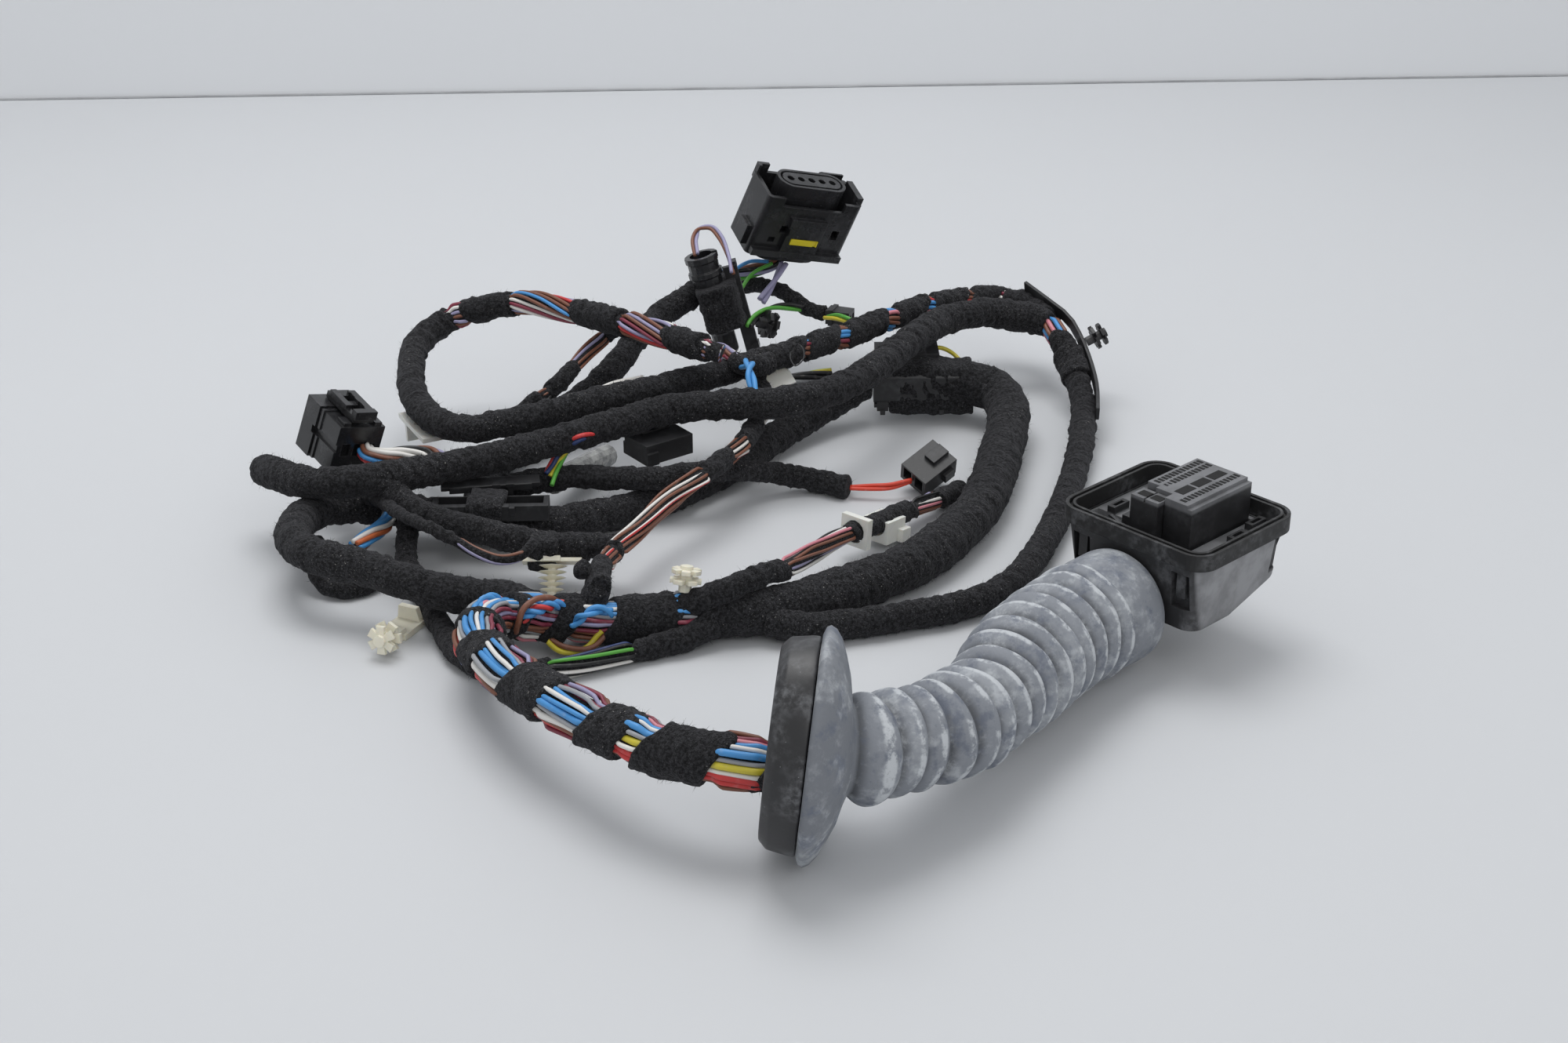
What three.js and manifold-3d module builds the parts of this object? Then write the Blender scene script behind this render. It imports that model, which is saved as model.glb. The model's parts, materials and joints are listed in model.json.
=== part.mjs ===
// Car door wiring harness: a pleated rubber door boot with its many-way plug, a thick taped
// trunk, its branches, and the connectors and clips that sit on them. Millimetres, +Z up.
// The harness lies on a flat surface at z = 0 as it was put down.
import * as THREE from 'three';
import { mergeGeometries, mergeVertices } from 'three/addons/utils/BufferGeometryUtils.js';
import Module from 'manifold-3d';

const wasm = await Module();
wasm.setup();

// Driving dimensions
const ORIGIN_SHIFT = [-1.62, 2, 0.03];
const GAP = 0.3;
const WIRE_HOLE_CLEARANCE = 1;

const FLANGE_HEIGHT = 73;
const FLANGE_ROUND_PART = 14;
const FLANGE_SIDE_SHARE = 0.68;
const LIP_THICKNESS = 6;
const LIP_CONE_LENGTH = 14;
const NECK_DIAMETER = 31;
const PLEAT_COUNT = 15;
const PLEAT_PITCH = 8.15;
const PLEAT_DEPTH = 2.8;
const PLEAT_DIAMETER_START = 32;
const PLEAT_DIAMETER_END = 41;
const COLLAR_DIAMETER = 42;
const BOOT_BORE_START = 22;
const BOOT_BORE_FLARE = 6;
const BOOT_BORE_END = 30;
const BOOT_SIDES = 20;
const INSERT_SIDES = 24;

const INSERT_DEPTH = 11;
const INSERT_HEIGHT = 66;
const INSERT_WALL = 3;
const INSERT_HOLE_DROP = 6;

const PLUG_LENGTH = 53;
const PLUG_WIDTH = 61;
const PLUG_CORNER = 8;
const PLUG_RIM_TOP = 48;
const PLUG_SEAL_HEIGHT = 5.7;
const PLUG_SEAL_WALL = 3.4;
const PLUG_WALL = 2;
const PLUG_WALL_INSET = 1.8;
const PLUG_FLOOR_TOP = 39.5;
const PLUG_BOTTOM = 18;
const PLUG_TAPER = 0.1;
const PLUG_WALL_PLACE = [127.5, -68.9];
const PLUG_AZIMUTH = 43.6;

const PIN_BLOCK_LENGTH = PLUG_LENGTH - 24.5;
const PIN_BLOCK_WIDTH = 22.8;
const PIN_BLOCK_TOP = 57;
const PIN_SLOT_PITCH = 1.9;
const PIN_SLOT_LENGTH = 1.8;
const PIN_SLOT_WIDTH = 1.1;
const PIN_SLOT_DEPTH = 2;
const SMALL_BLOCK_LENGTH = 6.8;
const SMALL_BLOCK_WIDTH = 11.2;
const SMALL_BLOCK_TOP = 55.5;

const TRUNK_DIAMETER = 16.5;
const BOOT_WIRES_DIAMETER = 14;

const black = '#1b1b1d';
const satinBlack = '#242527';
const boxGrey = '#303234';
const rubberGrey = '#8d9299';
const cream = '#e8e3cf';
const white = '#ece9e0';
const yellow = '#dccf2a';
const tapeBlack = '#201f1e';

// Materials
const finish = (color, roughness) => new THREE.MeshStandardMaterial({ color, roughness, metalness: 0 });

// Solids: merged closed meshes that can be joined and cut
function solid(geometry) {
  let g = geometry.index ? geometry.clone() : geometry;
  g.deleteAttribute('normal');
  g.deleteAttribute('uv');
  g = mergeVertices(g, 1e-4);
  const vertProperties = new Float32Array(g.attributes.position.array);
  const triVerts = new Uint32Array(g.index.array);
  return new wasm.Manifold(new wasm.Mesh({ numProp: 3, vertProperties, triVerts }));
}

function geometryOf(body) {
  const mesh = body.getMesh();
  const g = new THREE.BufferGeometry();
  const places = new Float32Array(mesh.numVert * 3);
  for (let i = 0; i < mesh.numVert; i += 1) {
    for (let k = 0; k < 3; k += 1) places[i * 3 + k] = mesh.vertProperties[i * mesh.numProp + k];
  }
  g.setAttribute('position', new THREE.BufferAttribute(places, 3));
  g.setIndex(new THREE.BufferAttribute(new Uint32Array(mesh.triVerts), 1));
  return g;
}

const joined = (first, ...rest) => rest.reduce((sum, next) => sum.add(next), first);
const cutFrom = (first, ...tools) => tools.reduce((sum, next) => sum.subtract(next), first);

function box(length, width, height, x = 0, y = 0, z = 0) {
  const g = new THREE.BoxGeometry(length, width, height);
  g.translate(x, y, z + height / 2);
  return solid(g);
}

function rod(radius, length, x, y, z, axis = 'z', sides = 16, endRadius = radius) {
  const g = new THREE.CylinderGeometry(endRadius, radius, length, sides);
  g.translate(0, length / 2, 0);
  if (axis === 'z') g.rotateX(Math.PI / 2);
  if (axis === 'x') g.rotateZ(-Math.PI / 2);
  g.translate(x, y, z);
  return solid(g);
}

function roundedRectangle(length, width, corner) {
  const shape = new THREE.Shape();
  const a = length / 2;
  const b = width / 2;
  shape.moveTo(a - corner, -b);
  shape.absarc(a - corner, -b + corner, corner, -Math.PI / 2, 0);
  shape.absarc(a - corner, b - corner, corner, 0, Math.PI / 2);
  shape.absarc(-a + corner, b - corner, corner, Math.PI / 2, Math.PI);
  shape.absarc(-a + corner, -b + corner, corner, Math.PI, 1.5 * Math.PI);
  return shape;
}

function slab(shape, height, z, curveSegments = 4) {
  const g = new THREE.ExtrudeGeometry(shape, { depth: height, bevelEnabled: false, curveSegments });
  g.translate(0, 0, z);
  return g;
}

function outline(points) {
  return new THREE.Shape(points.map(([x, y]) => new THREE.Vector2(x, y)));
}

// A side profile in x and z, carried across y and centred on it
function profileAcross(shape, width, y = 0, curveSegments = 6) {
  const g = new THREE.ExtrudeGeometry(shape, { depth: width, bevelEnabled: false, curveSegments });
  g.rotateX(Math.PI / 2);
  g.translate(0, y + width / 2, 0);
  return solid(g);
}

const vector = ([x, y, z]) => new THREE.Vector3(x, y, z);
const smoothCurve = (points) => new THREE.CatmullRomCurve3(points.map(vector), false, 'centripetal');

function add(parent, name, geometry, material) {
  const mesh = new THREE.Mesh(geometry, material);
  mesh.name = name;
  parent.add(mesh);
  return mesh;
}

// A group whose x and z axes point as given, with its origin at a place
function frameAt(place, xAxis, zAxis) {
  const group = new THREE.Group();
  const z = vector(zAxis).normalize();
  const y = new THREE.Vector3().crossVectors(z, vector(xAxis)).normalize();
  const x = new THREE.Vector3().crossVectors(y, z);
  group.quaternion.setFromRotationMatrix(new THREE.Matrix4().makeBasis(x, y, z));
  group.position.set(...place);
  return group;
}

// The cables keep the places they were measured in; the shift puts the middle of the base at 0, 0, 0
const harness = new THREE.Group();
harness.position.set(...ORIGIN_SHIFT);

// Cables. Each route is a hand-laid list of places along the middle of the cable.
const CABLES = {
  trunk_cable: { diameter: TRUNK_DIAMETER, points: [
    [18, -184.9, 31], [7, -184.5, 31], [-1, -183, 31], [-12, -179, 30.5], [-24, -172, 30],
    [-36, -162, 29], [-48, -150, 28], [-60, -136, 26.5], [-71, -120, 24], [-80, -101, 21],
    [-84, -85, 19], [-81, -70, 16], [-71, -62, 12.5], [-58, -59, 10], [-43, -58, 9],
    [-24, -55, 9], [-6, -53, 9], [13, -50, 9], [29, -42, 9], [46, -29, 9], [60, -17, 9],
    [73, 1, 9], [86, 25, 9], [95, 54, 9], [101, 82, 10], [105, 102, 12], [105, 116, 14],
    [101, 127, 15.5], [93, 132, 16.5],
  ] },
  channel_cable: { diameter: 12.5, points: [
    [48, 131, 16], [38, 124, 13], [27, 115, 10], [11, 97, 7], [-4, 73, 6.5], [-19, 54, 6.5],
    [-33, 40, 6.5], [-49, 30, 6.5], [-65, 21, 7], [-82, 16, 8], [-99, 16, 9], [-115, 20, 11],
    [-131, 22, 13], [-145, 18, 15], [-155, 6, 18], [-157, -12, 21], [-153, -30, 23],
    [-143, -39, 23], [-130, -43, 22], [-116, -49, 20], [-103, -51, 17], [-91, -51, 14.5],
    [-81, -50, 13],
  ] },
  long_cable: { diameter: 11.5, points: [
    [118, 169, 30], [105, 170, 32.5], [93, 163, 34.5], [82, 155, 35], [68, 132, 36], [55, 105, 37],
    [43, 85, 37], [30, 72, 37], [16, 64, 37], [1, 64, 36], [-14, 65, 35], [-29, 63, 34],
    [-43, 55, 33], [-58, 47, 32], [-72, 39, 31], [-85, 32, 30], [-99, 26, 29], [-112, 18, 30],
    [-125, 10, 31], [-138, 4, 32], [-153, 6, 30.4], [-167, 17, 28], [-176, 29, 25],
  ] },
  upper_loop: { diameter: 10.5, points: [
    [119, 188, 29], [106, 192, 30.5], [92, 185, 32.5], [78, 175, 34], [65, 162, 35], [49, 144, 36],
    [35, 130, 36], [19, 117, 36], [3, 105, 36], [-12, 93, 36], [-27, 84, 36], [-42, 75, 36],
    [-57, 66, 36], [-73, 56, 36], [-87, 50, 35], [-100, 46, 34], [-111, 51, 33], [-120, 62, 33],
    [-127, 78, 34], [-131, 100, 36], [-131, 120, 38], [-126, 132, 40], [-118, 138, 43],
    [-107, 139, 46], [-95, 140, 48], [-82, 133, 50], [-65, 119, 52], [-49, 106, 53], [-33, 94, 53],
    [-19, 84, 52], [-8, 80, 50],
  ] },
  right_cable: { diameter: 10, points: [
    [28, -58, 5.5], [35, -55, 5.5], [46, -52, 5.5], [58, -48, 5.5], [72, -43, 5.5], [85, -35, 5.5],
    [96, -23, 5.5], [105, -5, 5.5], [114, 19, 5.5], [122, 46, 5.5], [129, 73, 6], [134, 98, 8],
    [137, 123, 11], [136, 140, 16], [133, 153, 22], [129.5, 160, 26.5],
    [126.8, 165.2, 28.7], [123.4, 168, 29.3], [119.3, 168.9, 29.8],
  ] },
  motor_lead: { diameter: 10.5, points: [
    [-8.4, 184.8, 42], [-16, 177, 43], [-24, 163.1, 42], [-34.4, 155.6, 38], [-44, 142, 33], [-51, 130, 27],
    [-60, 118, 21], [-71, 110, 15], [-81, 101, 10], [-91, 85, 7],
    [-97, 70, 6], [-101, 52, 6.2], [-98.5, 38, 7.2], [-100, 24.2, 9],
  ] },
  motor_wires: { diameter: 7, points: [
    [13.2, 192.6, 50.2], [12, 193.2, 47.2], [8, 192.6, 45], [2, 191.2, 43.6],
    [-4, 189, 42.4], [-7.9, 185.3, 42],
  ] },
  thin_diagonal: { diameter: 6.5, points: [
    [-48.5, 115.3, 48], [-52, 118.5, 45], [-56, 119, 41.5], [-63, 112.5, 37], [-70, 103, 32], [-77, 95, 28], [-83, 90, 25],
    [-91, 84, 21], [-103, 78, 17],
  ] },
  switch_lead: { diameter: 7, points: [
    [-138.9, 33, 30.9], [-136.6, 30, 30.2], [-131, 30, 29.5], [-124, 33, 29],
    [-115.6, 33, 29], [-109.6, 27.3, 29.2],
  ] },
  middle_lead: { diameter: 8.5, points: [
    [-74, 37, 17], [-61, 39, 17.4], [-46, 38, 17.2], [-31, 38, 17.4], [-17, 41, 18], [-2, 50, 15],
    [13, 60, 9], [28, 62, 5], [40, 57, 4.5],
  ] },
  two_way_wires: { diameter: 3, points: [
    [40.8, 56.8, 4.5], [48.5, 56, 5], [56, 55.6, 5.6], [64.2, 58.2, 6.8],
  ] },
  diagonal_lead: { diameter: 7.5, points: [
    [-46, -58, 21.4], [-47, -45, 21], [-43, -24, 19], [-37, -13, 20], [-27, 7, 22], [-13, 27, 24.5],
    [-2, 46, 25.5], [4, 66, 25.5], [7, 85, 25], [7, 92, 28], [6, 96, 31],
  ] },
  lower_lead: { diameter: 9.5, points: [
    [-117, 1, 21], [-107, -3.8, 20], [-93, -7.4, 18], [-79, -11, 16], [-66, -13, 15], [-53, -15, 15],
  ] },
  clip_lead: { diameter: 7.5, points: [
    [4, -52, 22], [16, -41, 20], [26, -21, 16], [39, 2, 12], [50, 15, 10], [62, 30, 8],
    [73, 43, 6], [83, 56, 4],
  ] },
  floor_lead: { diameter: 7.5, points: [
    [-120, 1, 11.5], [-120, -5, 8.5], [-118, -14, 6], [-111, -29, 4.5], [-102, -51, 4],
    [-91, -75, 4], [-77, -84, 4], [-64, -83, 4],
    [-52, -80, 4], [-37, -72, 4], [-27, -67, 4],
  ] },
  small_loop: { diameter: 5.5, points: [
    [-152, -1, 11], [-151.5, -14, 8], [-147, -22, 4], [-139, -25, 3], [-131, -21, 3],
    [-126, -12, 3.5],
  ] },
  blue_lead: { diameter: 6, points: [
    [-137, -9, 12], [-133, -2, 13], [-129.5, 7, 12.5], [-128.8, 14.6, 12.8],
  ] },
  violet_lead: { diameter: 5, points: [
    [-133, 14, 21], [-127, 2, 24], [-119, -13, 27], [-108, -25, 28], [-98, -30, 25],
    [-91, -33, 22], [-82, -35, 20], [-75, -33, 21], [-71, -27, 23.5],
  ] },
  rear_lead: { diameter: 6, points: [
    [-3, 196, 35], [7, 190, 37.3], [16, 184, 36], [25, 177, 32], [33, 172.5, 31],
  ] },
  rear_short_lead: { diameter: 7, points: [
    [8, 120, 20], [19, 126, 20], [28, 130, 20], [35, 131, 20.5],
  ] },
  lamp_wires: { diameter: 3, points: [
    [-20.5, 159, 62], [-21.5, 167, 66], [-19, 175, 68], [-15, 176, 68], [-11, 170, 66],
    [-7.5, 159, 62], [-5.5, 151, 57],
  ] },
};

function cableGeometry({ diameter, points }) {
  const curve = smoothCurve(points);
  const sides = diameter < 15 ? 8 : 10;
  const step = diameter * 2;
  const steps = Math.max(points.length - 1, Math.min(80, Math.round(curve.getLength() / step)));
  const section = new THREE.Shape();
  for (let i = 0; i < sides; i += 1) {
    const angle = (i / sides) * 2 * Math.PI;
    const corner = [Math.cos(angle) * diameter / 2, Math.sin(angle) * diameter / 2];
    if (i === 0) section.moveTo(...corner);
    else section.lineTo(...corner);
  }
  return new THREE.ExtrudeGeometry(section, { steps, bevelEnabled: false, extrudePath: curve });
}

for (const [name, cable] of Object.entries(CABLES)) {
  add(harness, name, cableGeometry(cable), finish(tapeBlack, 0.95));
}

// The boot's middle line, from the panel flange to the wall of the plug
const BOOT_AXIS = smoothCurve([
  [22.4, -184.6, 36.6], [35.6, -181.8, 35], [46, -175, 33.3], [57, -165.5, 31], [67, -153.5, 29],
  [75, -141.5, 27.5], [84.5, -125.5, 26], [94.5, -109.5, 24.7], [106, -93.5, 23],
  [116.5, -80.6, 21.9], [127.6, -69, 21.3],
]);
const BOOT_LENGTH = BOOT_AXIS.getLength();
const FLANGE_AXIS = new THREE.Vector3(0.992, -0.08, -0.098).normalize();

// Side way, up way and middle of the boot at a distance along its middle line
function bootFrame(distance) {
  const up = new THREE.Vector3(0, 0, 1);
  const share = THREE.MathUtils.clamp(distance / BOOT_LENGTH, 0, 1);
  const along = BOOT_AXIS.getTangentAt(share);
  along.lerp(FLANGE_AXIS, 1 - THREE.MathUtils.smoothstep(distance, 2, 20)).normalize();
  const side = new THREE.Vector3().crossVectors(up, along).normalize();
  const lift = new THREE.Vector3().crossVectors(along, side);
  const middle = BOOT_AXIS.getPointAt(share);
  if (distance < 0) middle.addScaledVector(FLANGE_AXIS, distance);
  return { side, lift, middle };
}

// A turned body carried along the boot's middle line; wide radii are drawn in sideways
// so that the flange is a standing oval
function alongBoot(profile, sides = BOOT_SIDES) {
  const turned = new THREE.LatheGeometry(profile.map(([r, s]) => new THREE.Vector2(r, s)), sides);
  const place = turned.attributes.position;
  for (let i = 0; i < place.count; i += 1) {
    const { side, lift, middle } = bootFrame(place.getY(i));
    const across = place.getZ(i);
    const upward = place.getX(i);
    const radius = Math.hypot(across, upward);
    const wide = Math.max(radius - FLANGE_ROUND_PART, 0);
    const drawnIn = wide * (1 - FLANGE_SIDE_SHARE) * ovalShare(place.getY(i));
    const narrowed = radius > 0 ? (radius - drawnIn) / radius : 1;
    middle.addScaledVector(side, across * narrowed).addScaledVector(lift, upward);
    place.setXYZ(i, middle.x, middle.y, middle.z);
  }
  return turned;
}

const ovalShare = (distance) => 1 - THREE.MathUtils.smoothstep(distance, 8, 22);

const PLEATS_FROM = LIP_CONE_LENGTH + 4;
const PLEATS_TO = PLEATS_FROM + PLEAT_COUNT * PLEAT_PITCH;

function bootProfile() {
  const points = [];
  const rim = FLANGE_HEIGHT / 2;
  const bore = (s) => {
    const flare = BOOT_BORE_FLARE * (1 - THREE.MathUtils.smoothstep(s, 3, 15));
    return (THREE.MathUtils.lerp(BOOT_BORE_START, BOOT_BORE_END, s / BOOT_LENGTH) + flare) / 2;
  };
  points.push([bore(0), GAP], [rim - 3, GAP], [rim - 0.6, 1.2], [rim, 2.6]);
  points.push([rim - 0.8, LIP_THICKNESS - 1.5], [rim - 5, LIP_THICKNESS + 1]);
  points.push([NECK_DIAMETER / 2 + 5, LIP_CONE_LENGTH - 3], [NECK_DIAMETER / 2, LIP_CONE_LENGTH + 1]);
  for (let i = 0; i < PLEAT_COUNT; i += 1) {
    const start = PLEATS_FROM + i * PLEAT_PITCH;
    const share = i / (PLEAT_COUNT - 1);
    const crest = THREE.MathUtils.lerp(PLEAT_DIAMETER_START, PLEAT_DIAMETER_END, share) / 2;
    points.push([crest - PLEAT_DEPTH, start]);
    points.push([crest, start + PLEAT_PITCH * 0.36]);
    points.push([crest, start + PLEAT_PITCH * 0.64]);
  }
  const collar = COLLAR_DIAMETER / 2;
  points.push([collar - PLEAT_DEPTH - 1, PLEATS_TO], [collar - 0.6, PLEATS_TO + 2.5]);
  points.push([collar, PLEATS_TO + 5], [collar, BOOT_LENGTH - 1]);
  points.push([collar - 1.5, BOOT_LENGTH], [bore(BOOT_LENGTH), BOOT_LENGTH]);
  for (const s of [136, 120, 104, 88, 72, 56, 40, 26, 15, 9, 3]) points.push([bore(s), s]);
  points.push([bore(0), GAP]);
  return points;
}
add(harness, 'boot_bellows', alongBoot(bootProfile()), finish(rubberGrey, 0.7));

function insertGeometry() {
  const rim = INSERT_HEIGHT / 2;
  const inner = rim - INSERT_WALL;
  const ring = solid(alongBoot([
    [inner - 1.2, 0], [inner - 1.2, -INSERT_DEPTH + 2.5], [inner - 3.4, -INSERT_DEPTH],
    [rim - 4, -INSERT_DEPTH], [rim - 1.2, -INSERT_DEPTH + 2.5], [rim, -2], [rim, 0],
    [inner - 1.2, 0],
  ], INSERT_SIDES));
  const web = solid(alongBoot([[0, -3.5], [inner, -3.5], [inner, -1], [0, -1]], INSERT_SIDES));
  const holeHeight = BOOT_AXIS.getPointAt(0).z - INSERT_HOLE_DROP;
  const hole = TRUNK_DIAMETER / 2 + WIRE_HOLE_CLEARANCE;
  const sleeve = rod(hole + 2, 9, 11.4, -184.9, holeHeight, 'x', 20);
  const bore = rod(hole, 30, 5, -184.9, holeHeight, 'x', 20);
  return geometryOf(joined(ring, web, sleeve).subtract(bore));
}
add(harness, 'boot_flange_insert', insertGeometry(), finish(satinBlack, 0.6));

// The wires inside the boot, from the insert's hole to the plug's wall
const bootWires = {
  diameter: BOOT_WIRES_DIAMETER,
  points: [
    [19.3, -184.9, 31.2], [24, -184.6, 31.9], [30, -183.2, 33.6], [37, -181, 34.4],
    [46, -175, 33.3], [57, -165.5, 31], [67, -153.5, 29], [75, -141.5, 27.5],
    [84.5, -125.5, 26], [94.5, -109.5, 24.7], [106, -93.5, 23], [116.5, -80.6, 21.8],
    [127.3, -69.3, 21.4],
  ],
};
add(harness, 'boot_wires', cableGeometry(bootWires), finish(tapeBlack, 0.9));

// Plug. In its own frame x points away from the boot and y along the wall that the boot joins.
const plug = new THREE.Group();
plug.rotation.z = THREE.MathUtils.degToRad(PLUG_AZIMUTH);
plug.position.set(
  PLUG_WALL_PLACE[0] + (PLUG_LENGTH / 2) * Math.cos(plug.rotation.z),
  PLUG_WALL_PLACE[1] + (PLUG_LENGTH / 2) * Math.sin(plug.rotation.z),
  0,
);
harness.add(plug);

const SEAL_BOTTOM = PLUG_RIM_TOP - PLUG_SEAL_HEIGHT;
const HOUSING_TOP = SEAL_BOTTOM - GAP;
const HOUSING_LENGTH = PLUG_LENGTH - 2 * PLUG_WALL_INSET;
const HOUSING_WIDTH = PLUG_WIDTH - 2 * PLUG_WALL_INSET;
const HOUSING_CORNER = PLUG_CORNER - PLUG_WALL_INSET;
const CAVITY_LENGTH = HOUSING_LENGTH - 2 * PLUG_WALL;
const CAVITY_WIDTH = HOUSING_WIDTH - 2 * PLUG_WALL;
const TRAY_TOP = PLUG_FLOOR_TOP + GAP + 2;
const TRAY_LENGTH = CAVITY_LENGTH - 2 * GAP;
const TRAY_WIDTH = CAVITY_WIDTH - 2 * GAP;
const TRAY_RIM = 1.85;
const WELL_ROOM = 1;

// Draws a body in towards its middle line below the housing's top
function tapered(geometry) {
  const place = geometry.attributes.position;
  for (let i = 0; i < place.count; i += 1) {
    const depth = Math.max(HOUSING_TOP - place.getZ(i), 0) / (HOUSING_TOP - PLUG_BOTTOM);
    place.setX(i, place.getX(i) * (1 - PLUG_TAPER * depth));
    place.setY(i, place.getY(i) * (1 - PLUG_TAPER * depth));
  }
  return geometry;
}

function latchPocket(y) {
  const wall = -HOUSING_LENGTH / 2;
  const pocket = box(5, 7, 13, wall + 1.4, y, PLUG_BOTTOM + 8);
  const bar = box(2.2, 3.6, 9, wall + 2.6, y, PLUG_BOTTOM + 12);
  return pocket.subtract(bar);
}

function housingGeometry() {
  const outer = roundedRectangle(HOUSING_LENGTH, HOUSING_WIDTH, HOUSING_CORNER);
  const inner = roundedRectangle(CAVITY_LENGTH, CAVITY_WIDTH, HOUSING_CORNER - PLUG_WALL);
  const shell = solid(tapered(slab(outer, HOUSING_TOP - PLUG_BOTTOM, PLUG_BOTTOM)));
  const cavity = solid(slab(inner, 20, PLUG_FLOOR_TOP));
  const half = HOUSING_LENGTH / 2;
  const rising = profileAcross(outline([
    [-half + 14, PLUG_BOTTOM - 6], [half + 5, PLUG_BOTTOM - 6], [half + 5, PLUG_BOTTOM + 11],
    [-half + 22, PLUG_BOTTOM],
  ]), 80);
  const belly = new THREE.Shape();
  belly.moveTo(-half + 4, PLUG_BOTTOM + 4);
  belly.quadraticCurveTo(-half + 12, PLUG_BOTTOM - 6, -half + 24, PLUG_BOTTOM - 5);
  belly.quadraticCurveTo(half - 14, PLUG_BOTTOM - 2, half - 10, PLUG_BOTTOM + 12);
  belly.lineTo(-half + 4, PLUG_BOTTOM + 12);
  const keel = profileAcross(belly, 34);
  const sideNotch = box(7, 5, 14, half - 5, -HOUSING_WIDTH / 2 + 1.6, PLUG_BOTTOM + 9.5);
  const body = cutFrom(shell, rising).add(keel);
  const latch = HOUSING_WIDTH / 2 - 8.2;
  return geometryOf(cutFrom(body, cavity, latchPocket(-latch), latchPocket(latch), sideNotch));
}
add(plug, 'plug_housing', housingGeometry(), finish(boxGrey, 0.55));

function sealGeometry() {
  const outer = roundedRectangle(PLUG_LENGTH, PLUG_WIDTH, PLUG_CORNER);
  const wall = 2 * PLUG_SEAL_WALL;
  const opening = roundedRectangle(PLUG_LENGTH - wall, PLUG_WIDTH - wall, PLUG_CORNER - PLUG_SEAL_WALL);
  const ring = solid(slab(outer, PLUG_SEAL_HEIGHT, SEAL_BOTTOM));
  const hole = solid(slab(opening, PLUG_SEAL_HEIGHT + 2, SEAL_BOTTOM - 1));
  const wide = roundedRectangle(PLUG_LENGTH - 2.4, PLUG_WIDTH - 2.4, PLUG_CORNER - 1.2);
  const slim = roundedRectangle(PLUG_LENGTH - 4.8, PLUG_WIDTH - 4.8, PLUG_CORNER - 2.4);
  const core = solid(slab(slim, 5, PLUG_RIM_TOP - 3));
  const groove = solid(slab(wide, 3, PLUG_RIM_TOP - 1.8)).subtract(core);
  return geometryOf(cutFrom(ring, hole, groove));
}
add(plug, 'plug_rim_seal', sealGeometry(), finish(black, 0.75));

// Pin blocks: slots run along x, in rows across y
const BLOCK_X = TRAY_LENGTH / 2 - TRAY_RIM - WELL_ROOM - PIN_BLOCK_LENGTH / 2;
const BLOCK_Y = -3.6;
const BLOCK_BACK = PIN_BLOCK_WIDTH / 2 + BLOCK_Y;
const BLOCK_FRONT = BLOCK_BACK - PIN_BLOCK_WIDTH;

function slotRow(y, count, start, top, width = PIN_SLOT_WIDTH) {
  const slots = [];
  for (let i = 0; i < count; i += 1) {
    const x = start + i * PIN_SLOT_PITCH;
    slots.push(box(width, PIN_SLOT_LENGTH, PIN_SLOT_DEPTH + 1, x, y, top - PIN_SLOT_DEPTH));
  }
  return slots;
}

function largeBlockGeometry() {
  const x0 = BLOCK_X - PIN_BLOCK_LENGTH / 2;
  const base = PLUG_FLOOR_TOP + GAP;
  const height = PIN_BLOCK_TOP - base;
  const back = box(PIN_BLOCK_LENGTH, PIN_BLOCK_WIDTH, height, BLOCK_X, BLOCK_Y, base);
  const front = box(4, 11, height, x0 - 2, BLOCK_FRONT + 5.5, base);
  const shelf = box(PIN_BLOCK_LENGTH - 3, PIN_BLOCK_WIDTH - 3, 8, BLOCK_X, BLOCK_Y, base);
  const corner = box(3, 6, 30, x0 + 0.5, BLOCK_BACK - 2, base - 1);
  const slotCount = Math.floor((PIN_BLOCK_LENGTH - 3.8) / PIN_SLOT_PITCH);
  const rows = [
    ...slotRow(BLOCK_BACK - 2.4, slotCount, x0 + 4, PIN_BLOCK_TOP),
    ...slotRow(BLOCK_BACK - 6, slotCount, x0 + 4, PIN_BLOCK_TOP),
    ...slotRow(BLOCK_FRONT + 5.2, slotCount + 3, x0 - 1.6, PIN_BLOCK_TOP),
  ];
  const middle = PIN_BLOCK_LENGTH / 2 - 0.45;
  const windowPitch = (PIN_BLOCK_LENGTH - 3.3) / 3;
  const windows = [middle - windowPitch, middle, middle + windowPitch].map((x) => (
    box(5.8, 3.4, 7, x0 + x, BLOCK_FRONT + 10, PIN_BLOCK_TOP - 6)
  ));
  const step = box(PIN_BLOCK_LENGTH + 8, 2.4, 2, BLOCK_X, BLOCK_FRONT + 0.6, PIN_BLOCK_TOP - 1.2);
  return geometryOf(cutFrom(joined(back, front, shelf), corner, step, ...windows, ...rows));
}
add(plug, 'pin_block_large', largeBlockGeometry(), finish(boxGrey, 0.5));

function smallBlockGeometry() {
  const base = PLUG_FLOOR_TOP + GAP;
  const x = BLOCK_X - PIN_BLOCK_LENGTH / 2 - GAP - SMALL_BLOCK_LENGTH / 2;
  const y = BLOCK_FRONT + 11 + GAP + SMALL_BLOCK_WIDTH / 2;
  const body = box(SMALL_BLOCK_LENGTH, SMALL_BLOCK_WIDTH, SMALL_BLOCK_TOP - base, x, y, base);
  const skirt = box(SMALL_BLOCK_LENGTH - 1, SMALL_BLOCK_WIDTH + 3, 7, x - 0.5, y + 1.5, base);
  const pockets = [-2.6, 2.6].map((side) => box(3.4, 3.8, 4, x, y + side, SMALL_BLOCK_TOP - 3));
  const split = box(SMALL_BLOCK_LENGTH + 2, 0.6, 4, x, y, SMALL_BLOCK_TOP - 1.4);
  return geometryOf(cutFrom(joined(body, skirt), ...pockets, split));
}
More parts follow.
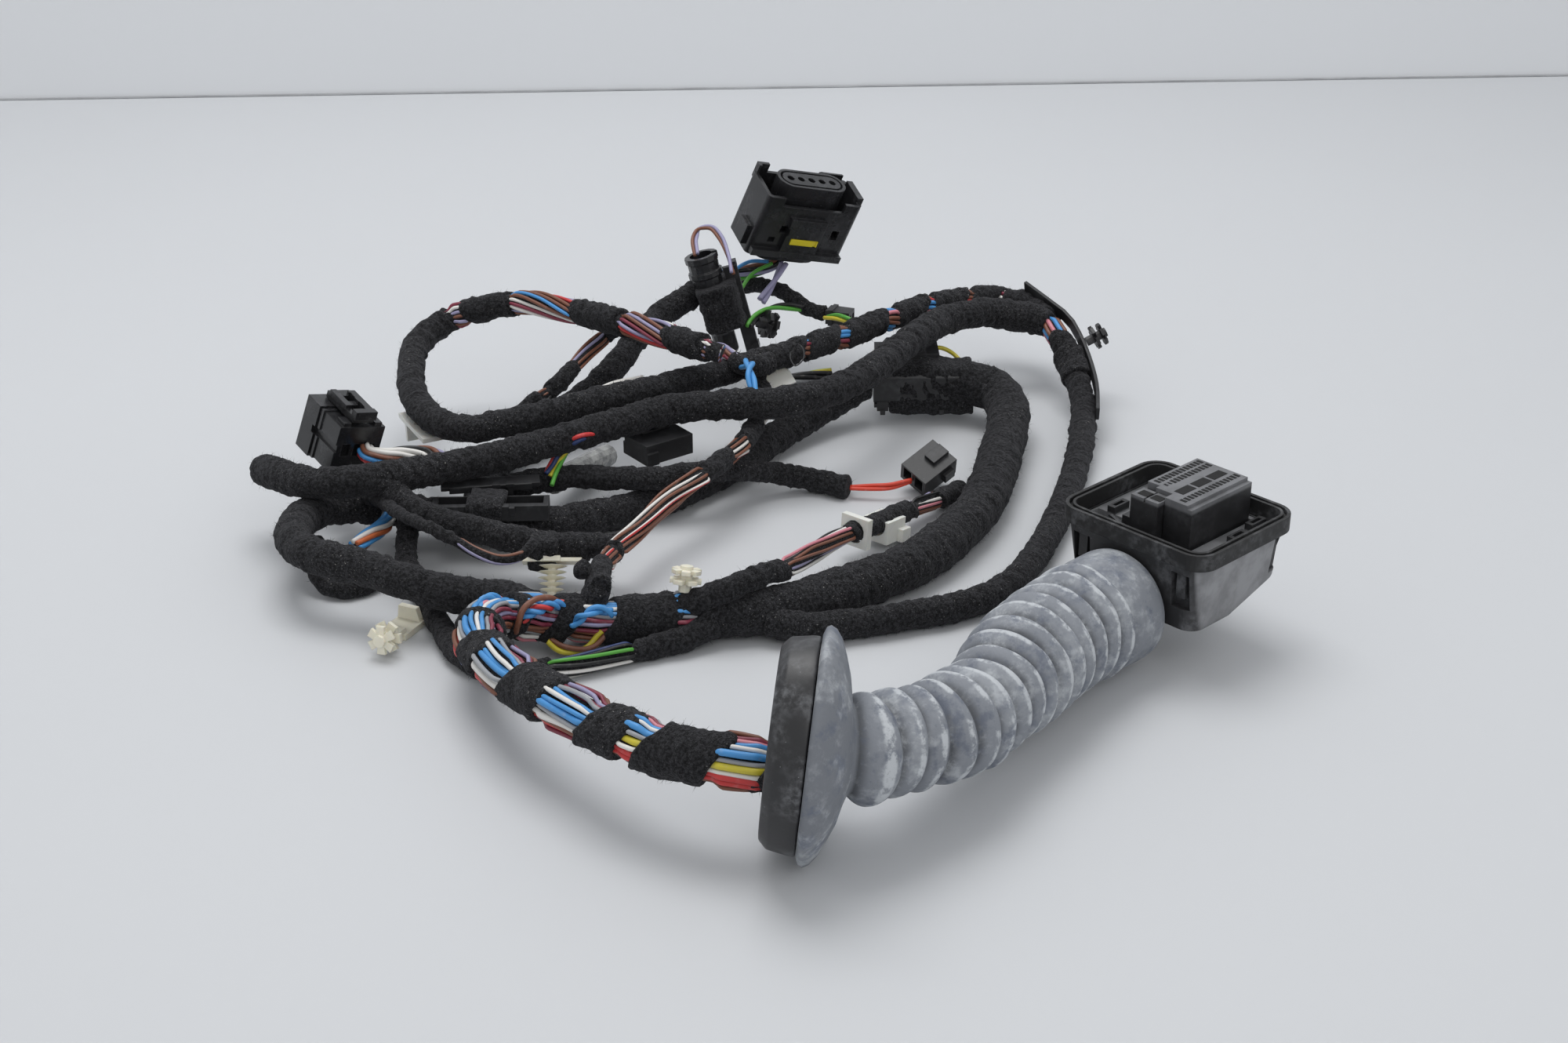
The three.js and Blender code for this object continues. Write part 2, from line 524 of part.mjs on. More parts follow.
add(plug, 'pin_block_small', smallBlockGeometry(), finish(boxGrey, 0.5));

// Locking tray round the pin blocks, with raised U-shaped clips
function clipLoop(x, y, turned) {
  const long = turned ? [3, 8] : [8, 3];
  const hole = turned ? [1.4, 5] : [5, 1.4];
  const body = box(long[0], long[1], 3.6, x, y, TRAY_TOP - 1);
  return body.subtract(box(hole[0], hole[1], 6, x, y, TRAY_TOP - 0.2));
}

function trayGeometry() {
  const corner = HOUSING_CORNER - PLUG_WALL;
  const edge = roundedRectangle(TRAY_LENGTH, TRAY_WIDTH, corner);
  const plate = solid(slab(edge, 2, PLUG_FLOOR_TOP + GAP));
  const x0 = BLOCK_X - PIN_BLOCK_LENGTH / 2;
  const below = PLUG_FLOOR_TOP - 1;
  const end = TRAY_LENGTH / 2;
  const back = TRAY_WIDTH / 2;
  const well = box(PIN_BLOCK_LENGTH + 13, PIN_BLOCK_WIDTH + 2, 6, BLOCK_X - 5.5, BLOCK_Y, below);
  const wellSmall = box(12, 12, 6, x0 - 5.8, BLOCK_BACK + 0.6, below);
  const gate = box(9, 17, 6, -HOUSING_LENGTH / 2 + 10.5, back - 9.4, below);
  const clips = [
    clipLoop(4, 4.4 - back, false), clipLoop(end - 5.9, 6.4 - back, false),
    clipLoop(-6, back - 6.4, false), clipLoop(end - 8.4, back - 7.4, false),
  ];
  const ledge = box(3, 26, 3, -HOUSING_LENGTH / 2 + 4.6, 6, PLUG_FLOOR_TOP + GAP);
  return geometryOf(joined(cutFrom(plate, well, wellSmall, gate), ledge, ...clips));
}
add(plug, 'plug_inner_frame', trayGeometry(), finish(satinBlack, 0.5));

function leverGeometry() {
  const wall = -HOUSING_LENGTH / 2 + 7;
  const curve = smoothCurve([
    [wall, 2.6, TRAY_TOP + 1], [wall + 0.1, 7, TRAY_TOP + 1.8], [wall + 0.7, 12, TRAY_TOP + 2.8],
    [wall + 2.7, 16, TRAY_TOP + 2.4],
  ]);
  const section = roundedRectangle(1.6, 1, 0.3);
  return new THREE.ExtrudeGeometry(section, {
    steps: 4, bevelEnabled: false, extrudePath: curve, curveSegments: 1,
  });
}
add(plug, 'plug_lever', leverGeometry(), finish(boxGrey, 0.4));

// Motor connector. In its own frame z points out of its open mouth and y to its back.
const MOTOR_PLUG_PLACE = [13.4, 192.5, 50.6];
const MOTOR_SEAL_HEIGHT = 5;
const MOTOR_SHELL_LENGTH = 45;
const MOTOR_SHELL_WIDTH = 20;
const MOTOR_SHELL_WALL = 1.7;
const MOTOR_SHELL_TOP = 34;
const MOTOR_FRONT_TOP = 30;
const MOTOR_CORE_LENGTH = 32;
const MOTOR_CORE_WIDTH = 13;
const MOTOR_CORE_TOP = 38;
const MOTOR_CORE_BOTTOM = 13;
const MOTOR_CHAMBERS = 5;
const MOTOR_CHAMBER_PITCH = 5;

const motorPlug = frameAt(MOTOR_PLUG_PLACE, [0.863, 0.436, -0.25], [0.36, -0.19, 0.913]);
harness.add(motorPlug);

const stadium = (length, width) => roundedRectangle(length, width, width / 2 - 0.01);

function motorShellGeometry() {
  const bottom = MOTOR_SEAL_HEIGHT + GAP;
  const half = MOTOR_SHELL_LENGTH / 2;
  const front = -MOTOR_SHELL_WIDTH / 2;
  const edge = roundedRectangle(MOTOR_SHELL_LENGTH, MOTOR_SHELL_WIDTH, 2.2);
  const outer = solid(slab(edge, MOTOR_SHELL_TOP - bottom, bottom, 2));
  const wall = 2 * MOTOR_SHELL_WALL;
  const mouth = solid(slab(
    roundedRectangle(MOTOR_SHELL_LENGTH - wall, MOTOR_SHELL_WIDTH - wall, 1),
    MOTOR_SHELL_TOP, MOTOR_CORE_BOTTOM - GAP, 2,
  ));
  const lowFront = box(MOTOR_SHELL_LENGTH - 16, 5, 10, 0, front, MOTOR_FRONT_TOP);
  const ledge = box(MOTOR_SHELL_LENGTH - 2, 3, 3, 0, front - 1, bottom + 1);
  const panel = box(17, 2.4, 16, 0, front - 0.8, bottom + 4);
  const leftWing = box(2, 8, 9, -half - 0.8, -2, bottom + 2);
  const leftPost = box(5.5, 3, 7, -half + 3.2, -front - 1.6, MOTOR_SHELL_TOP - 3);
  const rightLug = rod(4.2, 10, half - 13, -front - 2, MOTOR_SHELL_TOP - 1, 'x', 14);
  const rightEar = box(3, 13, 7, half - 0.4, 0, MOTOR_SHELL_TOP - 5);
  const windows = [
    box(3.4, 6, 3.4, -9.5, front, bottom + 12), box(3, 6, 2.4, -13.5, front, bottom + 7),
    box(3.4, 6, 4.6, 15, front, bottom + 11), box(13.6, 6, 3.3, 1, front - 1, bottom + 7.6),
  ];
  const body = joined(outer, ledge, panel, leftWing, leftPost, rightLug, rightEar);
  return geometryOf(cutFrom(body, mouth, lowFront, ...windows));
}
add(motorPlug, 'motor_plug_shell', motorShellGeometry(), finish(satinBlack, 0.5));

function motorCoreGeometry() {
  const oval = (inset, height, z) => (
    solid(slab(stadium(MOTOR_CORE_LENGTH - inset, MOTOR_CORE_WIDTH - inset), height, z, 3))
  );
  const collar = oval(0, MOTOR_CORE_TOP - MOTOR_CORE_BOTTOM, MOTOR_CORE_BOTTOM);
  const ringOut = oval(2.6, 4, MOTOR_CORE_TOP - 2);
  const ringIn = oval(4.6, 6, MOTOR_CORE_TOP - 3);
  const chambers = [];
  for (let i = 0; i < MOTOR_CHAMBERS; i += 1) {
    const x = (i - (MOTOR_CHAMBERS - 1) / 2) * MOTOR_CHAMBER_PITCH;
    chambers.push(rod(1.7, 8, x, 0, MOTOR_CORE_TOP - 6, 'z', 8));
  }
  return geometryOf(cutFrom(collar, ringOut.subtract(ringIn), ...chambers));
}
add(motorPlug, 'motor_plug_core', motorCoreGeometry(), finish(boxGrey, 0.5));

function motorLockGeometry() {
  const z = MOTOR_SEAL_HEIGHT + GAP + 7.6 + GAP;
  const bar = box(13, 2.2, 2.7, 1, -MOTOR_SHELL_WIDTH / 2 - 1.1, z);
  const notch = box(1.4, 0.9, 5, 6.2, -MOTOR_SHELL_WIDTH / 2 - 2.2, z - 1);
  return geometryOf(bar.subtract(notch));
}
add(motorPlug, 'motor_plug_lock', motorLockGeometry(), finish(yellow, 0.45));

function motorSealGeometry() {
  const body = solid(slab(stadium(31, 14), MOTOR_SEAL_HEIGHT - 1.4, 1.4));
  const foot = solid(slab(stadium(27, 10.5), 1.6, 0));
  return geometryOf(joined(body, foot));
}
add(motorPlug, 'motor_plug_boot', motorSealGeometry(), finish(black, 0.8));

// Switch connector at the left. In its own frame x points to the wires and z up.
const switchPlug = frameAt([-148, 40, 34], [0.65, -0.76, 0], [0.32, 0, 0.947]);
harness.add(switchPlug);

function switchHousingGeometry() {
  const body = box(15, 19, 19, 3.5, 0, -9.5);
  const mouth = box(9, 21, 21, -7.8, 0, -10.5);
  const rib = box(1.6, 20, 20, -1.6, 0, -10);
  const opening = box(7, 17, 17, -10, 0, -8.5);
  const tongue = box(3.6, 14, 12, -7.3, 0, -6);
  const wireSlots = [-5, 0, 5].map((y) => box(3, 3.4, 5, 10.6, y, -2.6));
  const groove = box(17, 2.4, 3, 3.5, -10, -1);
  const catches = [-6.5, 6.5].map((y) => box(5, 3, 3, 8, y, 8));
  const shell = cutFrom(joined(body, mouth, rib), opening, groove, ...wireSlots);
  return geometryOf(joined(shell, tongue, ...catches));
}
add(switchPlug, 'switch_plug_housing', switchHousingGeometry(), finish(satinBlack, 0.5));

function switchSliderGeometry() {
  const plate = box(20, 9, 2.6, 0, 0, 10.5 + GAP);
  const ridge = box(16, 3, 2, 1, 3.4, 12.6 + GAP);
  const arm = box(12, 2.4, 2.2, -2, -3.6, 12.4 + GAP);
  const end = box(3, 9, 3.4, 9.6, 0, 12 + GAP);
  const windows = [box(4, 4.6, 8, -3.6, 0, 9), box(4, 4.6, 8, 3.4, 0, 9)];
  return geometryOf(cutFrom(joined(plate, ridge, arm, end), ...windows));
}
add(switchPlug, 'switch_plug_slider', switchSliderGeometry(), finish(boxGrey, 0.5));

function switchCapGeometry() {
  const boss = rod(7, 3.4, -16, 0, 0, 'x', 18, 7.6);
  const stem = rod(4.4, 3, -13, 0, 0, 'x', 12);
  const dish = rod(5.4, 1, -16.4, 0, 0, 'x', 14);
  return geometryOf(joined(boss, stem).subtract(dish));
}
add(switchPlug, 'switch_plug_cap', switchCapGeometry(), finish(black, 0.6));

// Lamp holder, nearly upright at the back, with a flat bracket at its side
const lampHolder = frameAt([-7.8, 157.2, 20], [1, 0, 0.26], [-0.253, 0.046, 0.966]);
harness.add(lampHolder);

function lampHolderGeometry() {
  const turned = new THREE.LatheGeometry([
    [0, 0], [4.4, 0], [5, 1], [5, 9], [5.8, 10], [5.8, 12.4], [5.2, 13], [6, 14],
    [6, 16.4], [5.4, 17.6], [6.2, 18.6], [6.2, 34], [7.2, 34.6], [7.2, 36.6],
    [6.4, 37], [6.4, 40.5], [7, 41], [7, 43.4], [4.8, 43.4], [4.8, 37], [0, 37],
  ].map(([r, h]) => new THREE.Vector2(r, h)), 14);
  turned.rotateX(Math.PI / 2);
  const notch = box(4, 3, 6, 5.5, 0, 39);
  return geometryOf(solid(turned).subtract(notch));
}
add(lampHolder, 'lamp_holder_body', lampHolderGeometry(), finish(satinBlack, 0.45));

function lampBracketGeometry() {
  const bar = box(5.6, 2.6, 39, 10.4, 0, -3);
  const hook = box(2.6, 5, 3, 11.8, 1.6, 34.5);
  const foot = box(3, 6, 2.6, 12, 0, -1);
  return geometryOf(joined(bar, hook, foot));
}
add(lampHolder, 'lamp_holder_bracket', lampBracketGeometry(), finish(satinBlack, 0.5));

// Two-way connector in the middle, tipped on its edge
const twoWayPlug = frameAt([71, 63.5, 9.6], [0.73, 0.59, 0.34], [0, -0.5, 0.866]);
harness.add(twoWayPlug);

function twoWayGeometry() {
  const body = box(17, 13, 8.6, 0, 0, -4.3);
  const windows = [-3, 3].map((y) => box(6, 4, 6, -7, y, -2.4));
  const latch = box(8, 5, 2, 4, 0, 4);
  const lug = box(5, 2.4, 4, 3.6, -7, -2.6);
  return geometryOf(joined(cutFrom(body, ...windows), latch, lug));
}
add(twoWayPlug, 'two_way_plug', twoWayGeometry(), finish(satinBlack, 0.55));

// Flat connector tucked under the long cable
const flatPlug = frameAt([-32, 58, 22.4], [0.8, 0.6, 0], [0, 0, 1]);
harness.add(flatPlug);

function flatPlugGeometry() {
  const body = box(21, 15, 8, 0, 0, -4);
  const step = box(5, 17, 5, -8, 0, -4);
  const slots = [-4.5, 0, 4.5].map((y) => box(5, 2.6, 3, 9.5, y, -1.4));
  const rib = box(12, 1.6, 1, 1, 4, 3.6);
  return geometryOf(cutFrom(joined(body, step, rib), ...slots));
}
add(flatPlug, 'flat_plug', flatPlugGeometry(), finish(satinBlack, 0.55));

// Small connectors at the back of the pile
const rearGrey = frameAt([66, 145, 17.6], [1, 0.02, 0.02], [0, 0, 1]);
harness.add(rearGrey);

function rearGreyGeometry() {
  const body = box(26, 14, 9, 0, 0, 0);
  const roof = profileAcross(outline([[-10, 9], [8, 9], [4, 11.4], [-8, 11.4]]), 12);
  const mouth = box(6, 10, 6, 11.6, 0, 1.5);
  const groove = box(2, 16, 1.4, 2, 0, 8);
  return geometryOf(cutFrom(joined(body, roof), mouth, groove));
}
add(rearGrey, 'rear_plug_grey', rearGreyGeometry(), finish('#5d6062', 0.6));

const rearBlack = frameAt([39, 170, 31], [0.93, -0.36, 0.05], [0, 0, 1]);
harness.add(rearBlack);

function rearBlackGeometry() {
  const body = box(10.5, 7, 6, 0, 0, -3);
  const collar = box(2, 8, 7, -3, 0, -3.5);
  const slots = [-1.8, 1.8].map((y) => box(3, 2, 3, 5, y, -1.5));
  return geometryOf(cutFrom(joined(body, collar), ...slots));
}
add(rearBlack, 'rear_plug_black', rearBlackGeometry(), finish(satinBlack, 0.6));

// Folded carrier that the trunk is taped into, with snap feet below
const CHANNEL_LENGTH = 36.6;
const rearChannel = frameAt([70.2, 131.6, 16.4], [1, 0.02, 0.02], [0, 0, 1]);
harness.add(rearChannel);

function rearChannelGeometry() {
  const section = roundedRectangle(12.4, 12.8, 2.4);
  const body = slab(section, CHANNEL_LENGTH, -CHANNEL_LENGTH / 2, 3);
  body.rotateX(Math.PI / 2);
  body.rotateZ(Math.PI / 2);
  const feet = [-14.5, 9.5].map((x) => joined(
    box(4.6, 2.4, 4.4, x, -4, -10), box(7, 2.4, 1.6, x, -4, -8.4), box(2, 4, 2, x, -4, -11.4),
  ));
  const crest = box(5, 3, 2.2, 15, 2, 5.6);
  return geometryOf(joined(solid(body), crest, ...feet));
}
add(rearChannel, 'rear_channel', rearChannelGeometry(), finish(tapeBlack, 0.9));

// Flat retaining channels in the left pile
const lowerChannel = frameAt([-90.5, 10.1, 18], [0.995, 0.04, -0.05], [0, 0, 1]);
harness.add(lowerChannel);

function lowerChannelGeometry() {
  const tray = box(42, 9, 6, 0, 0, -3);
  const hollow = box(38, 6, 5, 0, 1, -0.6);
  const lip = box(24, 3, 1.6, -8, -5.4, -3);
  const hook = joined(box(4, 3, 5, 5, -5.6, -1), box(2, 2, 3, 8, -6.4, 0.6));
  return geometryOf(joined(tray.subtract(hollow), lip, hook));
}
add(lowerChannel, 'channel_clip_lower', lowerChannelGeometry(), finish(satinBlack, 0.5));

const upperChannel = frameAt([-92, 23, 22.5], [0.99, 0.14, 0.04], [0, 0, 1]);
harness.add(upperChannel);

function upperChannelGeometry() {
  const plate = box(36, 7, 1.5, 0, 0, -1);
  const rail = box(30, 1.2, 2.4, 0, -3.4, -2);
  const hooks = [2, 7].map((x) => joined(box(2, 2.4, 4.6, x, -4.4, -3), box(3, 1.4, 1.4, x, -5.6, 0.4)));
  return geometryOf(joined(plate, rail, ...hooks));
}
add(upperChannel, 'channel_clip_upper', upperChannelGeometry(), finish(satinBlack, 0.5));

// Rosette clips: a stem with tiers of short petals
function rosetteGeometry(radius, height, petals = 6) {
  const star = (reach, turn) => {
    const points = [];
    for (let i = 0; i < petals; i += 1) {
      for (const [side, share] of [[-0.3, 1], [0.3, 1], [0.5, 0.5]]) {
        const angle = (i + turn + side) / petals * 2 * Math.PI;
        points.push([reach * share * Math.cos(angle), reach * share * Math.sin(angle)]);
      }
    }
    return outline(points);
  };
  const stem = rod(radius * 0.4, height, 0, 0, 0, 'z', 8);
  const lower = solid(slab(star(radius, 0), 1.4, height * 0.35));
  const upper = solid(slab(star(radius * 0.92, 0.5), 1.4, height * 0.72));
  return geometryOf(joined(stem, lower, upper));
}

// Strip clip along the outside of the right branch
const stripRoute = smoothCurve([
  [141, 108, 13], [142.6, 126, 16], [141.6, 143, 20.5], [138.6, 156, 26.5], [134.6, 164.5, 31.5],
  [128, 173.5, 34.4], [118.6, 188.6, 37.2],
]);
const stripSection = roundedRectangle(1.5, 5.4, 0.3);
add(harness, 'right_clip_strip', new THREE.ExtrudeGeometry(stripSection, {
  steps: 14, bevelEnabled: false, extrudePath: stripRoute, curveSegments: 1,
}), finish(satinBlack, 0.5));

const stripRosette = frameAt([141.1, 153.2, 26], [0, 1, 0], [0.88, 0.2, 0.42]);
harness.add(stripRosette);
add(stripRosette, 'strip_rosette', rosetteGeometry(5.2, 9), finish(satinBlack, 0.6));

// Black rosette at the side of the lamp holder's bracket
const backRosette = frameAt([4.6, 158, 33], [0, 1, 0], [0.86, 0.35, -0.36]);
harness.add(backRosette);
add(backRosette, 'back_rosette', rosetteGeometry(6, 9), finish(satinBlack, 0.6));

// Cream clip at the front left: a plate that leans on the floor lead, and its rosette
const creamClip = frameAt([-115, -48.6, 0], [0.9, -0.42, 0], [0, 0, 1]);
harness.add(creamClip);

function creamPlateGeometry() {
  const plate = box(10, 12, 2.2, 0, 0, 0);
  const wall = profileAcross(outline([[-5, 0], [5, 0], [3, 7], [-4, 7]]), 2.2, 5);
  const stub = box(4, 8, 4, 2, -8, 0);
  return geometryOf(joined(plate, wall, stub));
}
add(creamClip, 'cream_clip_plate', creamPlateGeometry(), finish(cream, 0.5));

const creamRosette = frameAt([-116, -61.3, 6], [1, 0, 0], [-0.3, -0.75, 0.12]);
harness.add(creamRosette);
add(creamRosette, 'cream_clip_rosette', rosetteGeometry(5.6, 10), finish(cream, 0.5));

// Cream rosette standing on the trunk
const middleRosette = frameAt([-18, -54.2, 17.9], [1, 0, 0], [0.1, 0.25, 1]);
harness.add(middleRosette);
add(middleRosette, 'middle_rosette', rosetteGeometry(5.6, 9), finish(cream, 0.5));

// Fir-tree clip under the lower lead, and the strap that holds it
const FIR_TEETH = 6;
const FIR_PITCH = 2.1;
const firTree = frameAt([-66, -19.7, 10.8], [1, 0, 0], [0, -0.66, -0.75]);
harness.add(firTree);

function firTreeGeometry() {
  const profile = [[0, 0]];
  for (let i = 0; i < FIR_TEETH; i += 1) {
    const z = 0.6 + i * FIR_PITCH;
    const reach = 5.6 - i * 0.28;
    profile.push([1.6, z], [reach, z + 0.2], [1.6, z + 1.2]);
  }
  profile.push([1.2, 0.6 + FIR_TEETH * FIR_PITCH], [0, 1 + FIR_TEETH * FIR_PITCH]);
  const turned = new THREE.LatheGeometry(profile.map(([r, h]) => new THREE.Vector2(r, h)), 8);
  turned.rotateX(Math.PI / 2);
  turned.scale(1, 0.62, 1);
  return geometryOf(solid(turned));
}
add(firTree, 'fir_tree_clip', firTreeGeometry(), finish(white, 0.5));

function firStrapGeometry() {
  const bar = box(21, 5.2, 1.4, 0, 0, -1.7);
  const head = box(6, 6.4, 2, 0, 0, -2.3);
  return geometryOf(joined(bar, head));
}
add(firTree, 'fir_tree_strap', firStrapGeometry(), finish(white, 0.5));

// White clip on the clip lead: an end frame, and a cradle with a rosette
const whiteClip = frameAt([41.6, 5, 11.6], [0.62, 0.78, -0.11], [0.07, 0.08, 1]);
harness.add(whiteClip);

function whiteFrameGeometry() {
  const plate = box(2.6, 12, 11.4, 0, 0, -5.7);
  const bore = rod(4.3, 6, -3, 0, 0, 'x', 14);
  return geometryOf(plate.subtract(bore));
}
add(whiteClip, 'white_clip_frame', whiteFrameGeometry(), finish(white, 0.45));

function whiteCradleGeometry() {
  const body = box(11, 11, 8.6, 17.5, 0, -7.4);
  const bore = rod(4.5, 20, 10, 0.2, -0.6, 'x', 14);
  const opening = box(14, 7, 8, 17.5, 0, -0.6);
  const arm = box(5, 3, 5, 21, -6.4, -7.4);
  return geometryOf(joined(cutFrom(body, bore, opening), arm));
}
add(whiteClip, 'white_clip_cradle', whiteCradleGeometry(), finish(white, 0.45));

// Tags and a sleeve
const leftTag = frameAt([-119.5, 67, 25.5], [0.46, -0.89, 0], [0, 0, 1]);
harness.add(leftTag);

function leftTagGeometry() {
  const plate = box(28, 16, 1.8, 0, 0, 0);
  const back = box(2, 14, 9, -9, 0, -8);
  return geometryOf(joined(plate, back));
}
add(leftTag, 'left_tag', leftTagGeometry(), finish(cream, 0.5));

const flag = frameAt([13.6, 110, 27], [0.8, 0.6, 0], [0.2, -0.6, 0.8]);
harness.add(flag);
add(flag, 'flag_tag', geometryOf(box(11, 8, 0.9, 0, 0, 0)), finish(white, 0.5));

const sleevePath = smoothCurve([[-71.3, 42.8, 13], [-63, 65.8, 8.5], [-54, 86.6, 4.6]]);
function sleeveGeometry() {
  const section = new THREE.Shape();
  section.absarc(0, 0, 4.4, 0, 2 * Math.PI);
  const opening = new THREE.Path();
  opening.absarc(0, 0, 3.6, 0, 2 * Math.PI, true);
  section.holes.push(opening);
  return new THREE.ExtrudeGeometry(section, {
    steps: 3, bevelEnabled: false, extrudePath: sleevePath, curveSegments: 6,
  });
}
add(harness, 'grey_sleeve', sleeveGeometry(), finish('#9aa09c', 0.4));

export default harness;
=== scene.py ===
"""Car door wiring harness: the looks of its taped cables, pleated rubber boot, plugs and clips.

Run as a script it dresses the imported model: each operator below makes one piece or one group of
like pieces, and the panel lists them.  Lengths are metres, +Z up, and every piece stands where
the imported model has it.
"""
import json
import math

import bpy
import numpy as np
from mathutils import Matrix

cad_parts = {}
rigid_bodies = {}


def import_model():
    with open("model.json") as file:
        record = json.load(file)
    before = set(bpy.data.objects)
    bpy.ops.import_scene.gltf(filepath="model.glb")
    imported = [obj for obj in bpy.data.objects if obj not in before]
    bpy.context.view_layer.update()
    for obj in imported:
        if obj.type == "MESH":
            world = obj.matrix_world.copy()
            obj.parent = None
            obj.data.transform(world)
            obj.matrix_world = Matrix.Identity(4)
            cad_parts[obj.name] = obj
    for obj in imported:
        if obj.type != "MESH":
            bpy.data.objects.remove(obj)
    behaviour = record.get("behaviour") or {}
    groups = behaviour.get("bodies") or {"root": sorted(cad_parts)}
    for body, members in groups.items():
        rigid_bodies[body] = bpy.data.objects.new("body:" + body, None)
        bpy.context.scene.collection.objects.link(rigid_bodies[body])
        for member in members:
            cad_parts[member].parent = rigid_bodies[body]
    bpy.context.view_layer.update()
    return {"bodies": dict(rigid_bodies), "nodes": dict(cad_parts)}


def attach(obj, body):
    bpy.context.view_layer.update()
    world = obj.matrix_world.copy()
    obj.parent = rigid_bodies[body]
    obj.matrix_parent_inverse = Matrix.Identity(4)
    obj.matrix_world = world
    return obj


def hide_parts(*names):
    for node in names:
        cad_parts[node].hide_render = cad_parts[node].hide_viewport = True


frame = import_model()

bl_info = {
    "name": "Door wiring harness",
    "version": (1, 0, 0),
    "blender": (4, 5, 0),
    "location": "View3D > Sidebar > Harness",
    "description": "Taped cables, pleated boot, plugs and clips of a car door wiring harness",
    "category": "Add Mesh",
}

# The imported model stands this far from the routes' own zero
SHIFT = np.array((-0.00162, 0.002, 0.00003))
TURN = 2 * math.pi

